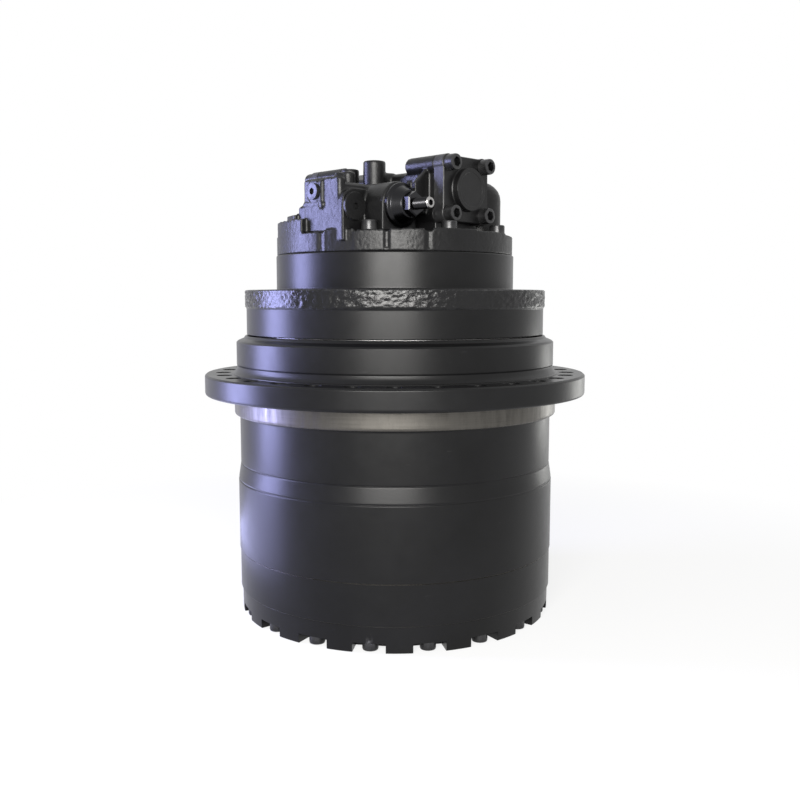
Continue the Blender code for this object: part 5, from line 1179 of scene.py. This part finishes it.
def cast_block(form, low, seat):
    """Round flange, spool housing, valve bodies, bosses and ribs of the casting."""
    root = seat - 0.012
    flange_rim(form, low, seat)
    strip(form, -77.0, -47.0, 0.1694, 0.138, root, 0.5535)
    strip(form, -72.0, -60.0, 0.158, 0.136, root, 0.562)
    spool_housing(form, root)

    slab(form, (-0.013, -0.160, root), (0.060, 0.0, 0.598), 0.004)
    slab(form, (-0.013, -0.160, root), (0.060, -0.1475, 0.6055), 0.003)
    slab(form, (-0.013, -0.160, root), (0.006, 0.0, 0.6055), 0.004)
    slab(form, (-0.045, -0.146, root), (-0.010, -0.085, 0.577), 0.006)
    arch(form, (0.040, -0.160, root), (0.066, -0.104, 0.5898), 0.018)
    arch(form, (0.030, -0.122, root), (0.100, -0.060, 0.600), 0.031, 18)
    lying(form, (0.050, -0.091, 0.569), 0.0295, 0.0515, 0.0, 0.002)
    web(form, ((-0.040, 0.624), (-0.0425, 0.622), (-0.0676, 0.600), (-0.0676, 0.560), (-0.040, 0.560)), 0.099, 0.106, "x")
    web(form, ((-0.0425, 0.606), (-0.060, 0.590), (-0.060, 0.560), (-0.0425, 0.560)), 0.066, 0.072, "x")

    slab(form, (-0.066, 0.0, root), (0.030, 0.130, 0.598), 0.006)
    slab(form, (0.053, 0.0, root), (0.101, 0.085, 0.590), 0.008)
    lobe = [(0.032, root), (0.032, 0.588)]
    lobe += [(0.032 * math.cos(lift), 0.588 + 0.0275 * math.sin(lift)) for lift in (0.25, 0.5, 0.75, 1.0, 1.25, 1.45)]
    form.bar(lobe, 48, 0.0, (0.085, 0.085))

    upright(form, (0.018, -0.058), 0.0155, 0.580, 0.6365, 0.0015, 0.003)
    upright(form, (0.018, -0.058), 0.0120, 0.580, 0.634, 0.0015)
    lying(form, (0.018, -0.058, 0.612), 0.0100, 0.030, math.radians(70), 0.001)
    upright(form, (-0.013, -0.075), 0.0125, 0.580, 0.6265, 0.0015, 0.003)
    upright(form, (0.051, -0.1515), 0.0062, 0.577, 0.6095, 0.0012)
    upright(form, (0.025, -0.1595), 0.0036, 0.571, 0.602, 0.001)
    upright(form, (0.030, -0.1180), 0.0100, 0.590, 0.6150, 0.0015, 0.002)
    lying(form, (0.012, -0.150, 0.588), 0.0150, 0.0125, -math.pi / 2, 0.001)
    lying(form, (0.025, -0.156, 0.5705), 0.0046, 0.0070, -math.pi / 2, 0.001)
    web(form, ((-0.013, 0.574), (-0.013, 0.570), (0.020, 0.570), (0.020, 0.574)), -0.1612, -0.150, "y")
    lying(form, (-0.010, -0.070, 0.569), 0.0223, 0.085, math.pi)


def block_bores(low):
    """Bores that stay open in the casting: spool, two main ports and the shaft's rear bearing."""
    form = Form()
    lying(form, (-0.140, 0.0, 0.593), 0.0150, 0.280, 0.0, 0.0001)
    for middle in (-0.044, 0.008):
        lying(form, (middle, 0.1157, 0.572), 0.0163, 0.030, math.pi / 2, 0.0001)
    form.bar([(0.0363, low - 0.010), (0.0363, low + 0.018)], SMALL, -BLOCK_TURN)
    return form


class DRIVE_OT_port_block(bpy.types.Operator):
    """Cast hydraulic block with its flange screws"""

    bl_idname = "drive.port_block"
    bl_label = "Hydraulic block"

    def execute(self, context):
        screws = context.scene.drive_screws
        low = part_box("port_block")[0].z
        seat = low + 0.0263
        form = Form()
        cast_block(form, low, seat)
        block = form.finish("hydraulic_block", "frame_side", finish_named("cast"), smooth=False)
        remesh = block.modifiers.new("one_casting", "REMESH")
        remesh.mode = "VOXEL"
        remesh.voxel_size = 0.0015
        smooth = block.modifiers.new("soft_corners", "SMOOTH")
        smooth.factor = 0.5
        smooth.iterations = 2
        apply_modifiers(block)
        normals = [vert.normal.copy() for vert in block.data.vertices]
        for vert, normal in zip(block.data.vertices, normals):
            point = vert.co.copy()
            radius = math.hypot(point.x, point.y)
            on_rim = radius > 0.160 and point.z > low + 0.002
            lump = abs(noise.fractal(point / 0.0045, 0.8, 2.0, 3)) * 0.0004
            if on_rim:
                normal = Vector((point.x, point.y, 0.0)) / radius
                lift = noise.fractal(point / 0.008, 0.8, 2.0, 3) * 0.0010 if point.z > seat - 0.001 else 0.0
                vert.co = point - normal * lump + Vector((0.0, 0.0, lift))
            else:
                vert.co = point - normal * lump * 0.4
            vert.co.z = min(vert.co.z, CAD_BOX[1][2])
        cut_away(block, block_bores(low), "MANIFOLD")
        block.data.transform(BLOCK_AXES)
        block.data.materials.clear()
        block.data.materials.append(finish_named("cast"))
        block.data.shade_smooth()
        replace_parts(block, "port_block")
        heads = Form()
        start = math.radians(-57.5)
        for number, place in enumerate(around(screws.port_count, screws.port_circle, start)):
            heads.bar([(screws.head_radius + 0.0022, seat - 0.001), (screws.head_radius + 0.0020, seat + 0.0012)], 36, 0.0, place)
            heads.socket_head(
                place, seat + 0.0008, seat + screws.head_height, screws.head_radius, screws.socket_radius, number
            )
        for place in ((0.050, -0.112), (0.040, -0.140)):
            heads.bar([(0.0048, 0.586), (0.0048, 0.5975), (0.0040, 0.5985)], 6, 0.4, place)
        heads.finish("block_screws", "frame_side", finish_named("oxide"), matrix=BLOCK_AXES, sharp=40)
        return {"FINISHED"}


def cap_outline():
    """Square cap with a round ear at each corner."""
    points = []
    for x_way, y_way in ((1, 1), (-1, 1), (-1, -1), (1, -1)):
        middle = math.atan2(y_way, x_way)
        for step in range(13):
            x, y = polar(0.0125, middle + (step / 6 - 1) * math.radians(75))
            points.append((x_way * 0.0322 + x, y_way * 0.0345 + y))
    return points


class DRIVE_OT_valve_caps(bpy.types.Operator):
    """Bolted caps on the two ends of the spool housing"""

    bl_idname = "drive.valve_caps"
    bl_label = "Valve caps"

    def execute(self, context):
        screws = context.scene.drive_screws
        for name, turn in (("front", 0.0), ("rear", math.pi)):
            face = (math.cos(turn) * 0.118, 0.0, 0.593)
            matrix = laid(face, turn)
            form = Form()
            outline = cap_outline()
            back = form.loop([(x, y, GAP) for x, y in outline])
            ear = form.loop([(x, y, 0.016) for x, y in outline])
            shrunk = form.loop([(x * 0.975, y * 0.975, 0.017) for x, y in outline])
            form.wall(back, ear)
            form.wall(ear, shrunk)
            disc_low, disc_high = form.turn(
                rounded([(0.0292, 0.017), (0.028, 0.0182, 0.001), (0.028, 0.0265, 0.0012), (0.0268, 0.0265)]), 96
            )
            inner_low, inner_high = form.turn([(0.0225, 0.0265), (0.0218, 0.0260)], 96)
            form.cap(back)
            form.cap(shrunk, disc_low)
            form.cap(disc_high, inner_low)
            form.cap(inner_high)
            cap = form.finish(f"{name}_cap", "frame_side", finish_named("cast"), matrix=matrix)
            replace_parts(cap, f"{name}_valve_cap")
            heads = Form()
            for x in (-0.0328, 0.0328):
                for y in (-0.0345, 0.0345):
                    heads.socket_head((x, y), 0.016, 0.031, screws.head_radius, screws.socket_radius, 0.3)
            heads.finish(f"{name}_cap_screws", "frame_side", finish_named("oxide"), matrix=matrix, sharp=40)
        return {"FINISHED"}


class DRIVE_OT_relief_valves(bpy.types.Operator):
    """Relief valves: cone cartridge, lock nut and adjuster"""

    bl_idname = "drive.relief_valves"
    bl_label = "Relief valves"

    def execute(self, context):
        for name, place, turn, size in (
            ("front", (0.100, -0.091, 0.569), 0.0, 1.0),
            ("rear", (-0.095, -0.070, 0.569), math.pi, 0.72),
        ):
            matrix = laid(place, turn)
            cone = 0.021 * size
            cartridge = Form()
            cartridge.bar(
                rounded(
                    [
                        (0.0288 * size, GAP), (0.0288 * size, cone * 0.25, 0.0008), (0.0262 * size, cone * 0.32, 0.0006),
                        (0.0245 * size, cone * 0.36, 0.0006), (0.0180 * size, cone * 0.96, 0.0008),
                        (0.0158 * size, cone),
                    ]
                ),
                96,
            )
            piece = cartridge.finish(f"{name}_relief_cartridge", "frame_side", finish_named("blued"), matrix=matrix)
            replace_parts(piece, f"{name}_relief_valve")
            nut = Form()
            radius, low = 0.0163 * size, cone + GAP
            high = low + 0.009 * size
            stud = 0.0075 * size
            start, end = nut.turn(
                [(radius * 0.93, low), (radius, low + 0.0008), (radius, high - 0.0014), (radius * 0.88, high)], 6
            )
            bore_low, bore_high = nut.turn([(stud + GAP, low), (stud + GAP, high)], 40)
            nut.cap(start, bore_low)
            nut.cap(end, bore_high)
            piece = nut.finish(f"{name}_hexagon_nut", "frame_side", finish_named("blued"), matrix=matrix)
            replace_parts(piece, f"{name}_lock_nut")
            adjuster = Form()
            top = cone + 0.034 * size
            profile = [(stud, low)]
            pitch = 0.0015 * size
            for turn_number in range(int((top - low - 0.003) / pitch)):
                base = low + 0.001 + turn_number * pitch
                profile += [(stud, base), (stud - 0.0006, base + pitch / 2)]
            profile += [(stud, top - 0.0015), (stud - 0.0012, top)]
            first, last = adjuster.turn(profile, 48)
            mouth, floor = adjuster.turn([(stud * 0.55, top), (stud * 0.55, top - 0.005 * size)], 6)
            adjuster.cap(first)
            adjuster.cap(last, mouth)
            adjuster.cap(floor)
            finishes = [finish_named(finish) for finish in ("blued", "ground")]
            piece = adjuster.finish(f"{name}_adjusting_screw", "frame_side", *finishes, matrix=matrix)
            end = matrix @ Vector((0.0, 0.0, top - 0.0016))
            way = matrix.to_3x3() @ Vector((0.0, 0.0, 1.0))
            for polygon in piece.data.polygons:
                polygon.material_index = 1 if (polygon.center - end).dot(way) > 0 else 0
            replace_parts(piece, f"{name}_adjuster")
        return {"FINISHED"}


class DRIVE_OT_plugs(bpy.types.Operator):
    """Screwed plugs of the block and its two main ports"""

    bl_idname = "drive.plugs"
    bl_label = "Plugs"

    def execute(self, context):
        for name, radius, height, place, turn in (
            ("front_plug", 0.0180, 0.0040, (0.066, -0.141, 0.567), 0.0),
            ("side_plug", 0.0108, 0.0060, (0.012, -0.160, 0.588), -math.pi / 2),
            ("main_port_plug_1", 0.0160, 0.0120, (-0.044, 0.116, 0.572), math.pi / 2),
            ("main_port_plug_2", 0.0160, 0.0120, (0.008, 0.116, 0.572), math.pi / 2),
        ):
            form = Form()
            socket = radius * (0.26 if name == "front_plug" else 0.44)
            first, last = form.turn(
                rounded([(radius, GAP), (radius, height, 0.0008), (radius * 0.9, height), (socket * 1.3, height)]), 64
            )
            mouth, floor = form.turn([(socket, height), (socket, GAP + 0.0006)], 6)
            form.cap(first)
            form.cap(last, mouth)
            form.cap(floor)
            finish = "cast" if name == "front_plug" else "oxide"
            piece = form.finish(f"{name}_screw", "frame_side", finish_named(finish), matrix=laid(place, turn))
            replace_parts(piece, name)
        return {"FINISHED"}


class DRIVE_OT_inner_parts(bpy.types.Operator):
    """Finishes of the gears, bearings, seals and motor parts inside"""

    bl_idname = "drive.inner_parts"
    bl_label = "Inner parts"

    def execute(self, context):
        wanted = {
            "rubber": "rubber", "shaft_seal": "rubber", "race": "ground", "bearing_front": "ground", "bearing_rear": "ground", "seal_ring": "ground", "spring": "ground",
            "brake_piston": "ground", "speed_piston": "ground", "spool": "ground", "lined": "lining",
            "thrust": "bronze", "valve_plate": "bronze", "pistons": "bronze", "nut": "oxide",
        }
        for name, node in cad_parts.items():
            if node.hide_render:
                continue
            chosen = next((finish for word, finish in wanted.items() if word in name), "gear")
            for slot in node.material_slots:
                slot.material = finish_named(chosen)
        return {"FINISHED"}


class DRIVE_OT_stage(bpy.types.Operator):
    """Pale floor, soft lamps and the camera"""

    bl_idname = "drive.stage"
    bl_label = "Stage"

    def floor_finish(self, s):
        """White to the eye and in reflections, with a soft shadow near the drive."""
        finish = Finish("floor_white")
        grain = finish.noise(3.0)
        finish.surface(base_color=finish.mix(grain * 0.02, s.floor, scaled(s.floor, 0.97)), roughness=0.8)
        finish.surface(specular_ior_level=0.1)
        rays = [finish.node("ShaderNodeLightPath", output=name) for name in WHITE_RAYS]
        seen = rays[0].most(rays[1]).most(rays[2])
        x, y, z = finish.axes()
        away = finish.ramp((x * x + y * y) * 0.5, (0.05, 1.0 - s.shadow), (0.6, 1.0))
        glow = finish.node("ShaderNodeEmission", inputs={"Color": (1.0, 1.0, 1.0), "Strength": 1.0})
        output = finish.tree.nodes["Material Output"]
        mixed = finish.node("ShaderNodeMixShader", inputs={0: seen * away, 2: glow})
        finish.tree.links.new(finish.shader.outputs[0], mixed.socket.node.inputs[1])
        finish.tree.links.new(mixed.socket, output.inputs["Surface"])
        return finish.material

    def execute(self, context):
        s = context.scene.drive_stage
        scene = context.scene
        scene.view_settings.view_transform = "Standard"
        world = scene.world or bpy.data.worlds.new("studio")
        scene.world = world
        world.use_nodes = True
        tree = world.node_tree
        tree.nodes.clear()
        path = tree.nodes.new("ShaderNodeLightPath")
        seen = tree.nodes.new("ShaderNodeMath")
        seen.operation = "ADD"
        seen.use_clamp = True
        also = tree.nodes.new("ShaderNodeMath")
        also.operation = "ADD"
        tree.links.new(path.outputs["Is Camera Ray"], also.inputs[0])
        tree.links.new(path.outputs["Is Glossy Ray"], also.inputs[1])
        tree.links.new(also.outputs[0], seen.inputs[0])
        tree.links.new(path.outputs["Is Transmission Ray"], seen.inputs[1])
        white = tree.nodes.new("ShaderNodeBackground")
        dim = tree.nodes.new("ShaderNodeBackground")
        dim.inputs["Strength"].default_value = s.ambient
        mix = tree.nodes.new("ShaderNodeMixShader")
        tree.links.new(seen.outputs[0], mix.inputs[0])
        tree.links.new(dim.outputs[0], mix.inputs[1])
        tree.links.new(white.outputs[0], mix.inputs[2])
        out = tree.nodes.new("ShaderNodeOutputWorld")
        tree.links.new(mix.outputs[0], out.inputs[0])
        for socket in (white.inputs["Color"], dim.inputs["Color"]):
            socket.default_value = (1.0, 1.0, 1.0, 1.0)

        form = Form()
        form.bar([(6.0, -0.02), (6.0, -0.0005)], 64)
        floor = form.finish("floor", None, smooth=False)
        floor.data.materials.append(self.floor_finish(s))

        for name, power, size, place, aim, tint in (
            ("side_softbox", s.side_lamp, (0.46, 1.0), (-1.25, 0.04, 0.52), (0.0, 0.0, 0.42), (0.48, 0.50, 1.0)),
            ("low_softbox", s.low_lamp, (0.6, 0.7), (-0.75, 0.10, 0.015), (-0.74, 0.10, 1.0), (0.5, 0.52, 1.0)),
            ("front_softbox", s.front_lamp, (1.3, 0.7), (-0.12, -1.95, 0.82), (0.0, 0.0, 0.50), (1.0, 0.985, 0.955)),
            ("right_softbox", s.right_lamp, (0.5, 0.3), (1.25, 0.95, 0.17), (0.0, 0.0, 0.12), (1.0, 1.0, 0.96)),
        ):
            lamp = bpy.data.lights.new(name, "AREA")
            lamp.shape = "RECTANGLE"
            lamp.size, lamp.size_y = size
            lamp.energy = power
            lamp.color = tint
            holder = bpy.data.objects.new(name, lamp)
            holder.location = place
            way = Vector(aim) - Vector(place)
            holder.rotation_euler = way.to_track_quat("-Z", "Y").to_euler()
            holder.visible_camera = False
            scene.collection.objects.link(holder)

        camera = bpy.data.cameras.new("camera")
        camera.lens = s.lens
        camera.sensor_width = 36.0
        holder = bpy.data.objects.new("camera", camera)
        holder.location = (0.0, -1.3527, 0.4499)
        holder.rotation_euler = (math.radians(90 - 6.34), 0.0, math.radians(-0.31))
        scene.collection.objects.link(holder)
        scene.camera = holder
        return {"FINISHED"}


OPERATORS = (
    DRIVE_OT_cover, DRIVE_OT_ring_gear, DRIVE_OT_drum, DRIVE_OT_spindle, DRIVE_OT_port_block,
    DRIVE_OT_valve_caps, DRIVE_OT_relief_valves, DRIVE_OT_plugs, DRIVE_OT_inner_parts, DRIVE_OT_stage,
)
GROUPS = {
    "drive_casings": DriveCasings,
    "drive_screws": DriveScrews,
    "drive_finishes": DriveFinishes,
    "drive_stage": DriveStage,
}


class DRIVE_PT_panel(bpy.types.Panel):
    """Buttons and sizes of the final drive"""

    bl_idname = "DRIVE_PT_panel"
    bl_label = "Final drive"
    bl_space_type = "VIEW_3D"
    bl_region_type = "UI"
    bl_category = "Final drive"

    def draw(self, context):
        for operator in OPERATORS:
            self.layout.operator(operator.bl_idname)
        for group, kind in GROUPS.items():
            box = self.layout.box()
            for name in kind.__annotations__:
                box.prop(getattr(context.scene, group), name)


def register():
    for kind in (*GROUPS.values(), *OPERATORS, DRIVE_PT_panel):
        bpy.utils.register_class(kind)
    for name, kind in GROUPS.items():
        setattr(bpy.types.Scene, name, PointerProperty(type=kind))


def unregister():
    for name in GROUPS:
        delattr(bpy.types.Scene, name)
    for kind in reversed((*GROUPS.values(), *OPERATORS, DRIVE_PT_panel)):
        bpy.utils.unregister_class(kind)


def main():
    register()
    bpy.ops.drive.cover()
    bpy.ops.drive.ring_gear()
    bpy.ops.drive.drum()
    bpy.ops.drive.spindle()
    bpy.ops.drive.port_block()
    bpy.ops.drive.valve_caps()
    bpy.ops.drive.relief_valves()
    bpy.ops.drive.plugs()
    bpy.ops.drive.inner_parts()
    bpy.ops.drive.stage()


if __name__ == "__main__":
    main()
